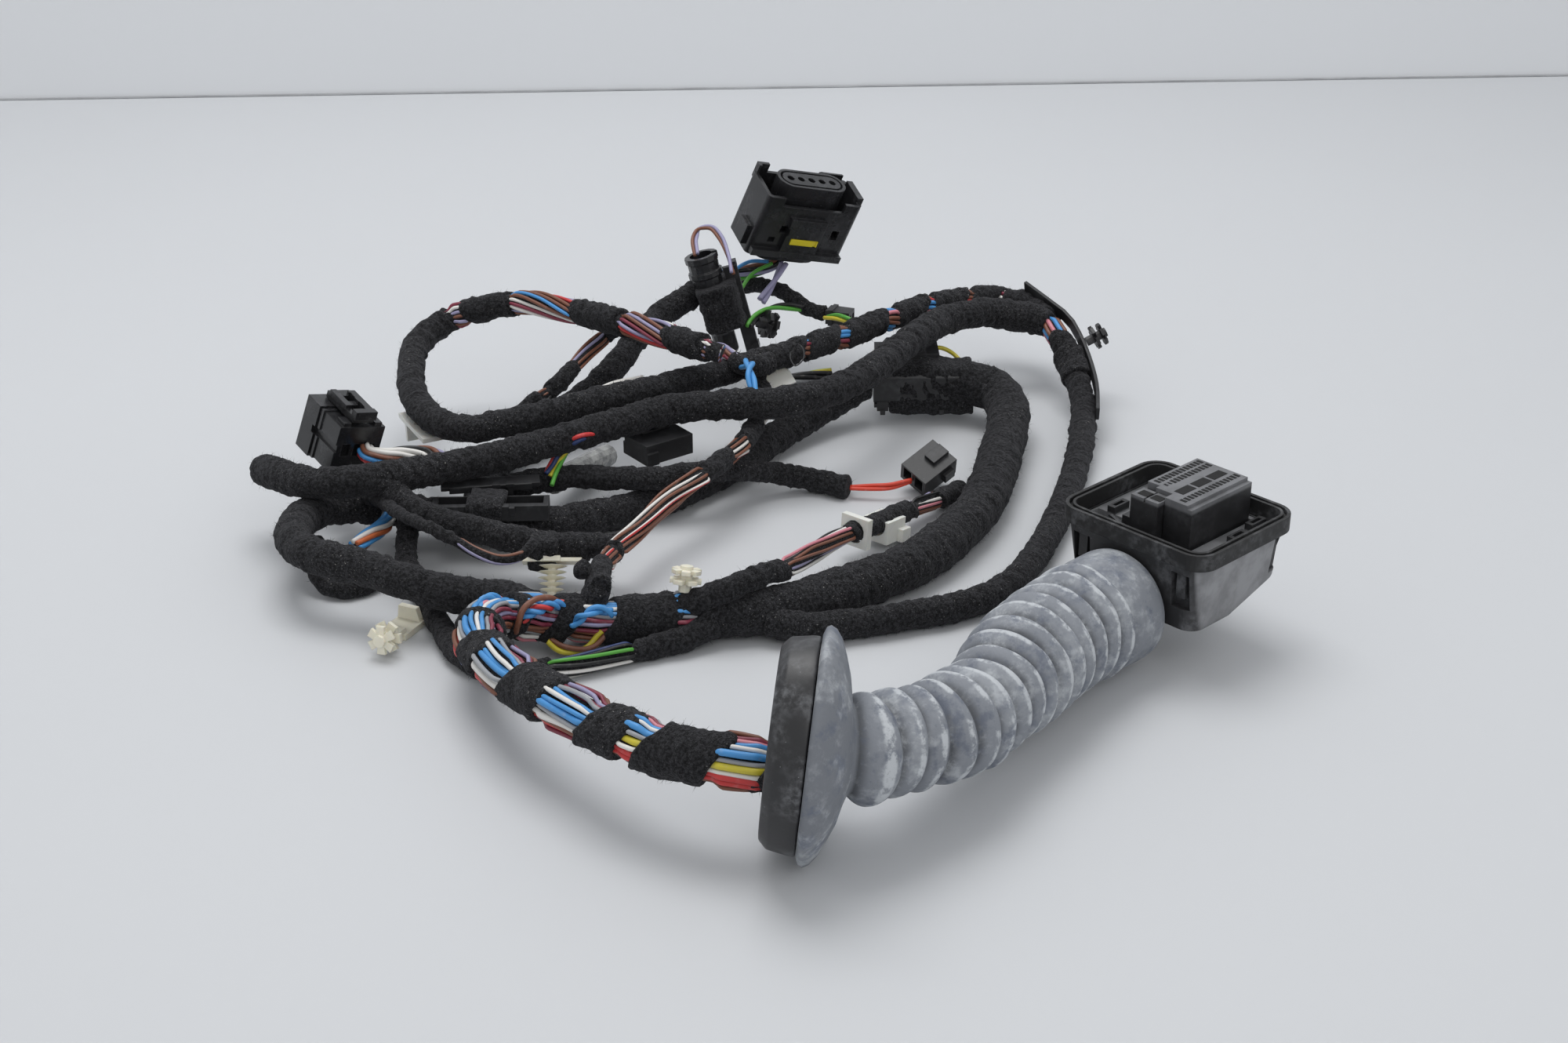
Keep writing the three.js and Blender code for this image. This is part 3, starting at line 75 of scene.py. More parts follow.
CABLE_ROUTES = {
    "trunk_cable": (
        (0.018, -0.1849, 0.031), (0.007, -0.1845, 0.031), (-0.001, -0.183, 0.031),
        (-0.012, -0.179, 0.0305), (-0.024, -0.172, 0.03), (-0.036, -0.162, 0.029),
        (-0.048, -0.15, 0.028), (-0.06, -0.136, 0.0265), (-0.071, -0.12, 0.024),
        (-0.08, -0.101, 0.021), (-0.084, -0.085, 0.019), (-0.081, -0.07, 0.016),
        (-0.071, -0.062, 0.0125), (-0.058, -0.059, 0.01), (-0.043, -0.058, 0.009),
        (-0.024, -0.055, 0.009), (-0.006, -0.053, 0.009), (0.013, -0.05, 0.009),
        (0.029, -0.042, 0.009), (0.046, -0.029, 0.009), (0.06, -0.017, 0.009),
        (0.073, 0.001, 0.009), (0.086, 0.025, 0.009), (0.095, 0.054, 0.009),
        (0.101, 0.082, 0.01), (0.105, 0.102, 0.012), (0.105, 0.116, 0.014),
        (0.101, 0.127, 0.0155), (0.093, 0.132, 0.0165),
    ),
    "channel_cable": (
        (0.048, 0.131, 0.016), (0.038, 0.124, 0.013), (0.027, 0.115, 0.01),
        (0.011, 0.097, 0.007), (-0.004, 0.073, 0.0065), (-0.019, 0.054, 0.0065),
        (-0.033, 0.04, 0.0065), (-0.049, 0.03, 0.0065), (-0.065, 0.021, 0.007),
        (-0.082, 0.016, 0.008), (-0.099, 0.016, 0.009), (-0.115, 0.02, 0.011),
        (-0.131, 0.022, 0.013), (-0.145, 0.018, 0.015), (-0.155, 0.006, 0.018),
        (-0.157, -0.012, 0.021), (-0.153, -0.03, 0.023), (-0.143, -0.039, 0.023),
        (-0.13, -0.043, 0.022), (-0.116, -0.049, 0.02), (-0.103, -0.051, 0.017),
        (-0.091, -0.051, 0.0145), (-0.081, -0.05, 0.013),
    ),
    "long_cable": (
        (0.118, 0.169, 0.03), (0.105, 0.17, 0.0325), (0.093, 0.163, 0.0345),
        (0.082, 0.155, 0.035), (0.068, 0.132, 0.036), (0.055, 0.105, 0.037),
        (0.043, 0.085, 0.037), (0.03, 0.072, 0.037), (0.016, 0.064, 0.037),
        (0.001, 0.064, 0.036), (-0.014, 0.065, 0.035), (-0.029, 0.063, 0.034),
        (-0.043, 0.055, 0.033), (-0.058, 0.047, 0.032), (-0.072, 0.039, 0.031),
        (-0.085, 0.032, 0.03), (-0.099, 0.026, 0.029), (-0.112, 0.018, 0.03),
        (-0.125, 0.01, 0.031), (-0.138, 0.004, 0.032), (-0.153, 0.006, 0.0304),
        (-0.167, 0.017, 0.028), (-0.176, 0.029, 0.025),
    ),
    "upper_loop": (
        (0.119, 0.188, 0.029), (0.106, 0.192, 0.0305), (0.092, 0.185, 0.0325),
        (0.078, 0.175, 0.034), (0.065, 0.162, 0.035), (0.049, 0.144, 0.036),
        (0.035, 0.13, 0.036), (0.019, 0.117, 0.036), (0.003, 0.105, 0.036),
        (-0.012, 0.093, 0.036), (-0.027, 0.084, 0.036), (-0.042, 0.075, 0.036),
        (-0.057, 0.066, 0.036), (-0.073, 0.056, 0.036), (-0.087, 0.05, 0.035),
        (-0.1, 0.046, 0.034), (-0.111, 0.051, 0.033), (-0.12, 0.062, 0.033),
        (-0.127, 0.078, 0.034), (-0.131, 0.1, 0.036), (-0.131, 0.12, 0.038),
        (-0.126, 0.132, 0.04), (-0.118, 0.138, 0.043), (-0.107, 0.139, 0.046),
        (-0.095, 0.14, 0.048), (-0.082, 0.133, 0.05), (-0.065, 0.119, 0.052),
        (-0.049, 0.106, 0.053), (-0.033, 0.094, 0.053), (-0.019, 0.084, 0.052),
        (-0.008, 0.08, 0.05),
    ),
    "right_cable": (
        (0.028, -0.058, 0.0055), (0.035, -0.055, 0.0055), (0.046, -0.052, 0.0055),
        (0.058, -0.048, 0.0055), (0.072, -0.043, 0.0055), (0.085, -0.035, 0.0055),
        (0.096, -0.023, 0.0055), (0.105, -0.005, 0.0055), (0.114, 0.019, 0.0055),
        (0.122, 0.046, 0.0055), (0.129, 0.073, 0.006), (0.134, 0.098, 0.008),
        (0.137, 0.123, 0.011), (0.136, 0.14, 0.016), (0.133, 0.153, 0.022),
        (0.1295, 0.16, 0.0265), (0.1268, 0.1652, 0.0287), (0.1234, 0.168, 0.0293),
        (0.1193, 0.1689, 0.0298),
    ),
    "motor_lead": (
        (-0.0084, 0.1848, 0.042), (-0.016, 0.177, 0.043), (-0.024, 0.1631, 0.042),
        (-0.0344, 0.1556, 0.038), (-0.044, 0.142, 0.033), (-0.051, 0.13, 0.027),
        (-0.06, 0.118, 0.021), (-0.071, 0.11, 0.015), (-0.081, 0.101, 0.01),
        (-0.091, 0.085, 0.007), (-0.097, 0.07, 0.006), (-0.101, 0.052, 0.0062),
        (-0.0985, 0.038, 0.0072), (-0.1, 0.0242, 0.009),
    ),
    "motor_wires": (
        (0.0132, 0.1926, 0.0502), (0.012, 0.1932, 0.0472), (0.008, 0.1926, 0.045),
        (0.002, 0.1912, 0.0436), (-0.004, 0.189, 0.0424), (-0.0079, 0.1853, 0.042),
    ),
    "thin_diagonal": (
        (-0.0485, 0.1153, 0.048), (-0.052, 0.1185, 0.045), (-0.056, 0.119, 0.0415),
        (-0.063, 0.1125, 0.037), (-0.07, 0.103, 0.032), (-0.077, 0.095, 0.028),
        (-0.083, 0.09, 0.025), (-0.091, 0.084, 0.021), (-0.103, 0.078, 0.017),
    ),
    "switch_lead": (
        (-0.1389, 0.033, 0.0309), (-0.1366, 0.03, 0.0302), (-0.131, 0.03, 0.0295),
        (-0.124, 0.033, 0.029), (-0.1156, 0.033, 0.029), (-0.1096, 0.0273, 0.0292),
    ),
    "middle_lead": (
        (-0.074, 0.037, 0.017), (-0.061, 0.039, 0.0174), (-0.046, 0.038, 0.0172),
        (-0.031, 0.038, 0.0174), (-0.017, 0.041, 0.018), (-0.002, 0.05, 0.015),
        (0.013, 0.06, 0.009), (0.028, 0.062, 0.005), (0.04, 0.057, 0.0045),
    ),
    "two_way_wires": (
        (0.0408, 0.0568, 0.0045), (0.0485, 0.056, 0.005), (0.056, 0.0556, 0.0056),
        (0.0642, 0.0582, 0.0068),
    ),
    "diagonal_lead": (
        (-0.046, -0.058, 0.0214), (-0.047, -0.045, 0.021), (-0.043, -0.024, 0.019),
        (-0.037, -0.013, 0.02), (-0.027, 0.007, 0.022), (-0.013, 0.027, 0.0245),
        (-0.002, 0.046, 0.0255), (0.004, 0.066, 0.0255), (0.007, 0.085, 0.025),
        (0.007, 0.092, 0.028), (0.006, 0.096, 0.031),
    ),
    "lower_lead": (
        (-0.117, 0.001, 0.021), (-0.107, -0.0038, 0.02), (-0.093, -0.0074, 0.018),
        (-0.079, -0.011, 0.016), (-0.066, -0.013, 0.015), (-0.053, -0.015, 0.015),
    ),
    "clip_lead": (
        (0.004, -0.052, 0.022), (0.016, -0.041, 0.02), (0.026, -0.021, 0.016),
        (0.039, 0.002, 0.012), (0.05, 0.015, 0.01), (0.062, 0.03, 0.008), (0.073, 0.043, 0.006),
        (0.083, 0.056, 0.004),
    ),
    "floor_lead": (
        (-0.12, 0.001, 0.0115), (-0.12, -0.005, 0.0085), (-0.118, -0.014, 0.006),
        (-0.111, -0.029, 0.0045), (-0.102, -0.051, 0.004), (-0.091, -0.075, 0.004),
        (-0.077, -0.084, 0.004), (-0.064, -0.083, 0.004), (-0.052, -0.08, 0.004),
        (-0.037, -0.072, 0.004), (-0.027, -0.067, 0.004),
    ),
    "small_loop": (
        (-0.152, -0.001, 0.011), (-0.1515, -0.014, 0.008), (-0.147, -0.022, 0.004),
        (-0.139, -0.025, 0.003), (-0.131, -0.021, 0.003), (-0.126, -0.012, 0.0035),
    ),
    "blue_lead": (
        (-0.137, -0.009, 0.012), (-0.133, -0.002, 0.013), (-0.1295, 0.007, 0.0125),
        (-0.1288, 0.0146, 0.0128),
    ),
    "violet_lead": (
        (-0.133, 0.014, 0.021), (-0.127, 0.002, 0.024), (-0.119, -0.013, 0.027),
        (-0.108, -0.025, 0.028), (-0.098, -0.03, 0.025), (-0.091, -0.033, 0.022),
        (-0.082, -0.035, 0.02), (-0.075, -0.033, 0.021), (-0.071, -0.027, 0.0235),
    ),
    "rear_lead": (
        (-0.003, 0.196, 0.035), (0.007, 0.19, 0.0373), (0.016, 0.184, 0.036),
        (0.025, 0.177, 0.032), (0.033, 0.1725, 0.031),
    ),
    "rear_short_lead": (
        (0.008, 0.12, 0.02), (0.019, 0.126, 0.02), (0.028, 0.13, 0.02), (0.035, 0.131, 0.0205),
    ),
    "lamp_wires": (
        (-0.0205, 0.159, 0.062), (-0.0215, 0.167, 0.066), (-0.019, 0.175, 0.068),
        (-0.015, 0.176, 0.068), (-0.011, 0.17, 0.066), (-0.0075, 0.159, 0.062),
        (-0.0055, 0.151, 0.057),
    ),
    "boot_wires": (
        (0.0193, -0.1849, 0.0312), (0.024, -0.1846, 0.0319), (0.03, -0.1832, 0.0336),
        (0.037, -0.181, 0.0344), (0.046, -0.175, 0.0333), (0.057, -0.1655, 0.031),
        (0.067, -0.1535, 0.029), (0.075, -0.1415, 0.0275), (0.0845, -0.1255, 0.026),
        (0.0945, -0.1095, 0.0247), (0.106, -0.0935, 0.023), (0.1165, -0.0806, 0.0218),
        (0.1273, -0.0693, 0.0214),
    ),
}


# Colours and settings

def tone(red, green, blue):
    """A colour of 0 to 255 display values as linear light: ((c + 0.055) / 1.055) ** 2.4, and
    c / 12.92 where c is 0.04045 or less."""
    return tuple(
        c / 12.92 if c <= 0.04045 else ((c + 0.055) / 1.055) ** 2.4
        for c in (red / 255, green / 255, blue / 255)
    )


def shaded(colour, share):
    """A colour made darker or lighter: each of its values times share, and at most 1."""
    return tuple(min(c * share, 1) for c in colour)


WIRE_COLOURS = {
    "red": tone(196, 56, 56), "blue": tone(72, 144, 206), "white": tone(222, 220, 216),
    "brown": tone(120, 76, 58), "violet": tone(150, 146, 178), "black": tone(24, 24, 26),
    "green": tone(84, 160, 60), "yellow": tone(204, 190, 60), "grey": tone(150, 152, 156),
    "orange": tone(196, 104, 62), "maroon": tone(126, 48, 66), "navy": tone(40, 58, 104),
    "rose": tone(206, 130, 142), "cherry": tone(208, 66, 46),
}


def colour_setting(name, description, value):
    return bpy.props.FloatVectorProperty(
        name=name, description=description, subtype="COLOR", size=3, min=0, max=1, default=value)


def length_setting(name, description, value):
    return bpy.props.FloatProperty(
        name=name, description=description, subtype="DISTANCE", unit="LENGTH", precision=5,
        min=0, default=value)


class HarnessCableSettings(bpy.types.PropertyGroup):
    """Sizes and colours of the taped cables"""
    tape_colour: colour_setting("Tape", "Colour of the fleece tape", tone(34, 34, 36))
    lint_colour: colour_setting(
        "Lint", "Colour of the lint caught in the fleece", tone(150, 148, 144))
    lap_pitch: length_setting("Lap pitch", "Distance from one turn of tape to the next", 0.0105)
    lap_height: length_setting(
        "Lap height", "Step where one turn of tape lies on the last", 0.00055)
    lump_height: length_setting("Lumps", "How far the wound tape swells and sinks", 0.0008)
    fleece_height: length_setting("Fleece", "Height of the fleece's nubs", 0.0008)
    wire_diameter: length_setting("Wire", "Diameter of one insulated wire", 0.0019)


class HarnessBootSettings(bpy.types.PropertyGroup):
    """Sizes and colours of the pleated boot and of the ring in its flange"""
    rubber_colour: colour_setting("Rubber", "Colour of the boot's rubber", tone(130, 134, 141))
    # the chalk colour also paints a highlight along the pleats' crests
    chalk_colour: colour_setting("Chalk", "Colour of the bloom on the rubber", tone(198, 202, 206))
    insert_colour: colour_setting("Insert", "Colour of the flange insert", tone(38, 38, 40))
    flange_height: length_setting("Flange height", "Height of the oval flange lip", 0.073)
    neck_diameter: length_setting("Neck", "Diameter behind the flange", 0.031)
    pleat_pitch: length_setting("Pleat pitch", "Distance from pleat to pleat", 0.0089)
    pleat_depth: length_setting("Pleat depth", "Depth of the valleys between pleats", 0.0036)
    pleat_count: bpy.props.IntProperty(
        name="Pleats", description="Number of pleats", min=1, default=15)


class HarnessPlasticSettings(bpy.types.PropertyGroup):
    """Colours and edge softness of the moulded parts"""
    black_colour: colour_setting("Black", "Moulded black plastic", tone(33, 33, 35))
    box_colour: colour_setting("Plug", "Dusty dark plastic of the many-way plug", tone(48, 48, 50))
    dust_colour: colour_setting("Dust", "Dust that lies on the dark plastic", tone(142, 144, 148))
    rubber_colour: colour_setting("Seal", "Black rubber of the seals", tone(27, 27, 28))
    cream_colour: colour_setting("Cream", "Aged cream nylon", tone(238, 234, 216))
    white_colour: colour_setting("White", "Natural white nylon", tone(234, 234, 228))
    yellow_colour: colour_setting("Yellow", "Yellow lock", tone(226, 208, 40))
    sleeve_colour: colour_setting("Sleeve", "Colour of the clear sleeve", tone(205, 206, 204))
    # the tray's colour is partly its own grey and partly painted light, raised against the shade that
    # the rim walls cast on it
    tray_colour: colour_setting("Tray", "Tray round the pin blocks", tone(146, 147, 150))
    # painted light: the lighter colour that the pin blocks' tops take where light from above falls
    face_colour: colour_setting("Pin faces", "Slotted faces of the pin blocks", tone(112, 113, 116))
    # painted shade: the near-black of the patches that stand for the shade inside the slots
    void_colour: colour_setting("Slots", "Dark inside of the slots", tone(9, 9, 10))
    side_colour: colour_setting("Housing side", "Dusty side of the plug", tone(140, 141, 144))
    edge_radius: length_setting("Edge radius", "Rounding that the moulded edges show", 0.00035)


class HarnessStageSettings(bpy.types.PropertyGroup):
    """Floor, backdrop, light and camera"""
    floor_colour: colour_setting("Floor", "Colour of the floor", tone(203, 205, 208))
    wall_colour: colour_setting("Backdrop", "Colour of the backdrop", tone(228, 230, 233))
    wall_distance: length_setting(
        "Backdrop", "How far behind the harness the backdrop stands", 0.635)
    sky_strength: bpy.props.FloatProperty(
        name="Sky", description="Strength of the even light all round", min=0, default=0.62)
    key_power: bpy.props.FloatProperty(
        name="Key light", description="Power of the large lamp above and behind", subtype="POWER",
        min=0, default=9)
    fill_power: bpy.props.FloatProperty(
        name="Fill light", description="Power of the lamp at the front", subtype="POWER",
        min=0, default=3)
    lens: bpy.props.FloatProperty(
        name="Lens", description="Focal length of the camera in millimetres", min=1, default=54)


def settings(group):
    return getattr(bpy.context.scene, "harness_" + group)


# Noise and paths

def lattice(x, y, z, seed):
    """A number from 0 to 1 for each corner of a cubic lattice, from a mix of its three counts."""
    mixed = x * 73856093 ^ y * 19349663 ^ z * 83492791 ^ seed * 40503
    mixed = (mixed ^ (mixed >> 13)) * 1274126177 & 0x7FFFFFFF
    return ((mixed ^ (mixed >> 15)) & 0xFFFF) / 65535.0


def noise(points, size, seed=1):
    """Smooth noise from -1 to 1: the lattice's corner numbers blended by 3t^2 - 2t^3 along x, y, z."""
    scaled = np.asarray(points) / size + 4096
    cell = np.floor(scaled).astype(np.int64)
    part = scaled - cell
    part = part * part * (3 - 2 * part)
    total = 0.0
    for dx in (0, 1):
        for dy in (0, 1):
            for dz in (0, 1):
                weight = (
                    np.where(dx, part[..., 0], 1 - part[..., 0])
                    * np.where(dy, part[..., 1], 1 - part[..., 1])
                    * np.where(dz, part[..., 2], 1 - part[..., 2])
                )
                corner = lattice(cell[..., 0] + dx, cell[..., 1] + dy, cell[..., 2] + dz, seed)
                total = total + weight * corner
    return 2 * total - 1


def smoothstep(value, low, high):
    """3t^2 - 2t^3 with t = (value - low) / (high - low) held from 0 to 1."""
    t = np.clip((value - low) / (high - low), 0, 1)
    return t * t * (3 - 2 * t)


def unit(vectors):
    return vectors / np.maximum(np.linalg.norm(vectors, axis=-1, keepdims=True), 1e-12)


def smooth_points(points, share=24):
    """Centripetal Catmull-Rom: each span is a cubic whose end slopes weigh the neighbours by the
    fourth root of the squared distances to them."""
    p = np.asarray(points, float)
    ends = np.vstack((2 * p[0] - p[1], p, 2 * p[-1] - p[-2]))
    a, b, c, d = ends[:-3], ends[1:-2], ends[2:-1], ends[3:]

    def gap(u, v):
        return np.maximum(np.sum((u - v) ** 2, axis=1, keepdims=True) ** 0.25, 1e-5)

    ab, bc, cd = gap(a, b), gap(b, c), gap(c, d)
    slope_b = ((b - a) / ab - (c - a) / (ab + bc) + (c - b) / bc) * bc
    slope_c = ((c - b) / bc - (d - b) / (bc + cd) + (d - c) / cd) * bc
    t = (np.arange(share) / share)[None, :, None]
    b, c, m, n = (v[:, None, :] for v in (b, c, slope_b, slope_c))
    rows = (
        b + m * t + (-3 * b + 3 * c - 2 * m - n) * t ** 2 + (2 * b - 2 * c + m + n) * t ** 3
    )
    return np.vstack((rows.reshape(-1, 3), p[-1:]))


class Route:
    """A smooth line in space with, at each distance along it, its middle, its direction and two
    crosswise directions: side = up x along and lift = along x side."""

    def __init__(self, points, up=(0, 0, 1)):
        line = smooth_points(points) + SHIFT
        steps = np.linalg.norm(np.diff(line, axis=0), axis=1)
        keep = np.concatenate(([True], steps > 1e-7))
        line = line[keep]
        self.arc = np.concatenate(([0], np.cumsum(np.linalg.norm(np.diff(line, axis=0), axis=1))))
        self.line = line
        self.length = float(self.arc[-1])
        self.up = np.asarray(up, float)
        self.along = unit(np.gradient(line, self.arc, axis=0))

    def middle(self, s):
        held = np.clip(s, 0, self.length)
        place = np.stack([np.interp(held, self.arc, self.line[:, k]) for k in range(3)], -1)
        over = (s - held)[..., None]
        return place + over * self.direction(held)

    def direction(self, s):
        return unit(np.stack([np.interp(s, self.arc, self.along[:, k]) for k in range(3)], -1))

    def frame(self, s):
        along = self.direction(s)
        side = unit(np.cross(self.up, along))
        return self.middle(s), side, np.cross(along, side)

    def around(self, s, angle, radius):
        """Points at an angle and radius round the line: middle + radius (side cos + lift sin)."""
        middle, side, lift = self.frame(s)
        across, upward = radius * np.cos(angle), radius * np.sin(angle)
        return middle + across[..., None] * side + upward[..., None] * lift

    def points(self, count):
        return [tuple(p) for p in self.middle(np.linspace(0, self.length, count))]


# Meshes

# No point lies lower than this, so that nothing sinks into the floor
FLOOR_LIFT = 0.00008


class Surface:
    """Collects grids of points and turns them into one mesh."""

    def __init__(self):
        self.points, self.quads, self.fans, self.colours = [], [], [], []
        self.count = 0

    def add(self, grid, closed=True, ends=True, colour=(0.0, 0.0, 0.0)):
        """Adds a grid of rows by columns. Closed joins the last column to the first, and ends adds
        a fan of triangles to the middle of the first and of the last row."""
        rows, columns = grid.shape[:2]
        base = self.count
        index = base + np.arange(rows * columns).reshape(rows, columns)
        if closed:
            index = np.hstack((index, index[:, :1]))
        self.quads.append(np.stack(
            (index[:-1, :-1], index[:-1, 1:], index[1:, 1:], index[1:, :-1]), -1).reshape(-1, 4))
        points = [grid.reshape(-1, 3)]
        if closed and ends:
            points.append(np.stack((grid[0].mean(0), grid[-1].mean(0))))
            first, last = base + rows * columns, base + rows * columns + 1
            near, far = index[0], index[-1]
            self.fans.append(np.stack((near[1:], near[:-1], np.full(columns, first)), -1))
            self.fans.append(np.stack((far[:-1], far[1:], np.full(columns, last)), -1))
        points = np.vstack(points)
        tint = np.broadcast_to(np.asarray(colour, float), (rows, columns, 3)).reshape(-1, 3)
        if len(tint) < len(points):
            tint = np.vstack((tint, tint[:1], tint[-1:]))
        self.colours.append(tint)
        self.points.append(points)
        self.count += len(points)
        return self

    def piece(self, name, material, smooth=True, attribute=None):
        """Makes the mesh with foreach_set and hangs it on the harness's body."""
        points = np.vstack(self.points)
        points[:, 2] = np.maximum(points[:, 2], FLOOR_LIFT)
        quads = np.vstack(self.quads)
        fans = np.vstack(self.fans) if self.fans else np.zeros((0, 3), int)
        mesh = bpy.data.meshes.new(name)
        mesh.vertices.add(len(points))
        mesh.vertices.foreach_set("co", points.ravel())
        corners = np.concatenate((quads.ravel(), fans.ravel()))
        mesh.loops.add(len(corners))
        mesh.loops.foreach_set("vertex_index", corners)
        starts = np.concatenate((
            np.arange(len(quads)) * 4, 4 * len(quads) + np.arange(len(fans)) * 3))
        mesh.polygons.add(len(starts))
        mesh.polygons.foreach_set("loop_start", starts)
        mesh.polygons.foreach_set("use_smooth", np.full(len(starts), smooth))
        if attribute:
            layer = mesh.attributes.new(attribute, "FLOAT_COLOR", "POINT")
            shades = np.hstack((np.vstack(self.colours), np.ones((len(points), 1))))
            layer.data.foreach_set("color", shades.ravel())
        mesh.update(calc_edges=True)
        mesh.validate()
        mesh.materials.append(material)
        thing = bpy.data.objects.new(name, mesh)
        bpy.context.scene.collection.objects.link(thing)
        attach(thing, BODY)
        return thing


BODY = next(iter(frame["bodies"]))


def tube(route, start, end, radius, sides=10, step=0.0012):
    """A round tube along a stretch of a route: radius times (cos, sin) of the angle."""
    rows = max(int((end - start) / step), 3) + 1
    s = np.linspace(start, end, rows)[:, None] + np.zeros((1, sides))
    angle = np.arange(sides)[None, :] * TURN / sides + np.zeros((rows, 1))
    return route.around(s, angle, np.full(s.shape, radius))


# Shader nodes

class Sock:
    """A number socket with the operators that shader maths here needs."""

    def __init__(self, tree, socket):
        self.tree, self.socket = tree, socket

    def maths(self, operation, *values):
        node = self.tree.nodes.new("ShaderNodeMath")
        node.operation = operation
        for slot, value in zip(node.inputs, values):
            if isinstance(value, Sock):
                self.tree.links.new(value.socket, slot)
            else:
                slot.default_value = value
        return Sock(self.tree, node.outputs[0])

    def __add__(self, other):
        return self.maths("ADD", self, other)

    def __mul__(self, other):
        return self.maths("MULTIPLY", self, other)

    def __sub__(self, other):
        return self.maths("SUBTRACT", self, other)

    __radd__, __rmul__ = __add__, __mul__

    def clipped(self, low, high):
        """3t^2 - 2t^3 between low and high."""
        node = self.tree.nodes.new("ShaderNodeMapRange")
        node.interpolation_type = "SMOOTHSTEP"
        self.tree.links.new(self.socket, node.inputs["Value"])
        node.inputs["From Min"].default_value = low
        node.inputs["From Max"].default_value = high
        return Sock(self.tree, node.outputs["Result"])


class Finish:
    """A material with a Principled shader, and the means to wire patterns into it."""

    def __init__(self, name, colour, roughness, **sockets):
        self.material = bpy.data.materials.new(name)
        self.material.use_nodes = True
        self.material.diffuse_color = (*colour, 1)
        self.tree = self.material.node_tree
        self.shader = self.tree.nodes["Principled BSDF"]
        self.set("Base Color", (*colour, 1))
        self.set("Roughness", roughness)
        for socket, value in sockets.items():
            self.set(socket.replace("_", " ").title().replace("Ior", "IOR"), value)
        self.place = self.node("ShaderNodeTexCoord").outputs["Object"]

    def set(self, socket, value):
        slot = self.shader.inputs[socket]
        if hasattr(value, "__len__") and len(slot.default_value) == 4:
            value = (*value[:3], 1)
        slot.default_value = value

    def node(self, kind, inputs=None, **options):
        """A node of a type, its options set first and then the values or links of its sockets."""
        node = self.tree.nodes.new(kind)
        for option, value in options.items():
            setattr(node, option, value)
        for socket, value in (inputs or {}).items():
            slot = node.inputs[socket]
            if isinstance(value, Sock):
                value = value.socket
            if isinstance(value, bpy.types.NodeSocket):
                self.tree.links.new(value, slot)
            else:
                slot.default_value = value
        return node

    def grain(self, size, detail=2.0, roughness=0.5, seed=0.0):
        """Noise from 0 to 1 whose nubs are about size metres across."""
        place = self.place
        if seed:
            place = self.node("ShaderNodeMapping", {
                "Vector": place, "Location": (seed, seed, seed)}).outputs["Vector"]
        node = self.node("ShaderNodeTexNoise", {
            "Vector": place, "Scale": 1 / size, "Detail": detail, "Roughness": roughness})
        return Sock(self.tree, node.outputs["Fac"])

    def attribute(self, name):
        return self.node("ShaderNodeAttribute", attribute_name=name).outputs["Color"]

    def mixed(self, share, low, high):
        """A colour between two, by a share from 0 to 1."""
        node = self.tree.nodes.new("ShaderNodeMix")
        node.data_type = "RGBA"
        for slot, value in ((node.inputs[0], share), (node.inputs[6], low), (node.inputs[7], high)):
            if isinstance(value, Sock):
                value = value.socket
            if isinstance(value, bpy.types.NodeSocket):
                self.tree.links.new(value, slot)
            else:
                slot.default_value = (*value, 1) if hasattr(value, "__len__") else value
        return node.outputs[2]

    def link(self, socket, value):
        self.tree.links.new(value.socket if isinstance(value, Sock) else value,
                            self.shader.inputs[socket])

    def relief(self, height, distance, strength=1.0, edge=0.0):
        """Bump from a height of 0 to 1 times distance in metres, on edges rounded by edge."""
        inputs = {"Height": height, "Distance": distance, "Strength": strength}
        if edge:
            inputs["Normal"] = self.node(
                "ShaderNodeBevel", {"Radius": edge}, samples=6).outputs["Normal"]
        self.link("Normal", self.node("ShaderNodeBump", inputs).outputs["Normal"])


# Finishes

def fleece_tape():
    """Matt black fleece: nubs about a millimetre across, fine fuzz between them and pale lint."""
    look = settings("cables")
    f = Finish("Fleece tape", look.tape_colour, 0.95, sheen_weight=0.22, sheen_roughness=0.5,
               sheen_tint=tone(150, 150, 155), specular_ior_level=0.2)
    nubs = f.grain(0.0011, 2.5, 0.6)
    fuzz = f.grain(0.0005, 2.0, 0.6, seed=3.0)
    wear = f.grain(0.03, 2.0)
    lint = f.grain(0.0008, 1.0, 0.5, seed=7.0).clipped(0.72, 0.78) * wear.clipped(0.38, 0.6)
    shade = f.mixed(nubs.clipped(0.36, 0.68), shaded(look.tape_colour, 0.35),
                    shaded(look.tape_colour, 1.8))
    tips = fuzz.clipped(0.56, 0.7) * (0.35 + 0.65 * wear.clipped(0.35, 0.6))
    shade = f.mixed(tips * 0.5, shade, tone(96, 96, 98))
    f.link("Base Color", f.mixed(lint * 0.85, shade, look.lint_colour))
    f.relief(nubs * 0.6 + fuzz * 0.4, 0.0011, 1.0)
    return f.material


def wire_insulation():
    """Insulated wire in the colour that the mesh carries, with faint scuffs."""
    f = Finish("Wire insulation", (0.3, 0.3, 0.3), 0.36, specular_ior_level=0.45)
    colour = f.attribute("wire")
    scuff = f.grain(0.0025, 2.0)
    f.link("Base Color", f.mixed(scuff.clipped(0.55, 0.9) * 0.25, colour, (0.55, 0.53, 0.5)))
    f.link("Roughness", 0.3 + 0.25 * scuff)
    return f.material


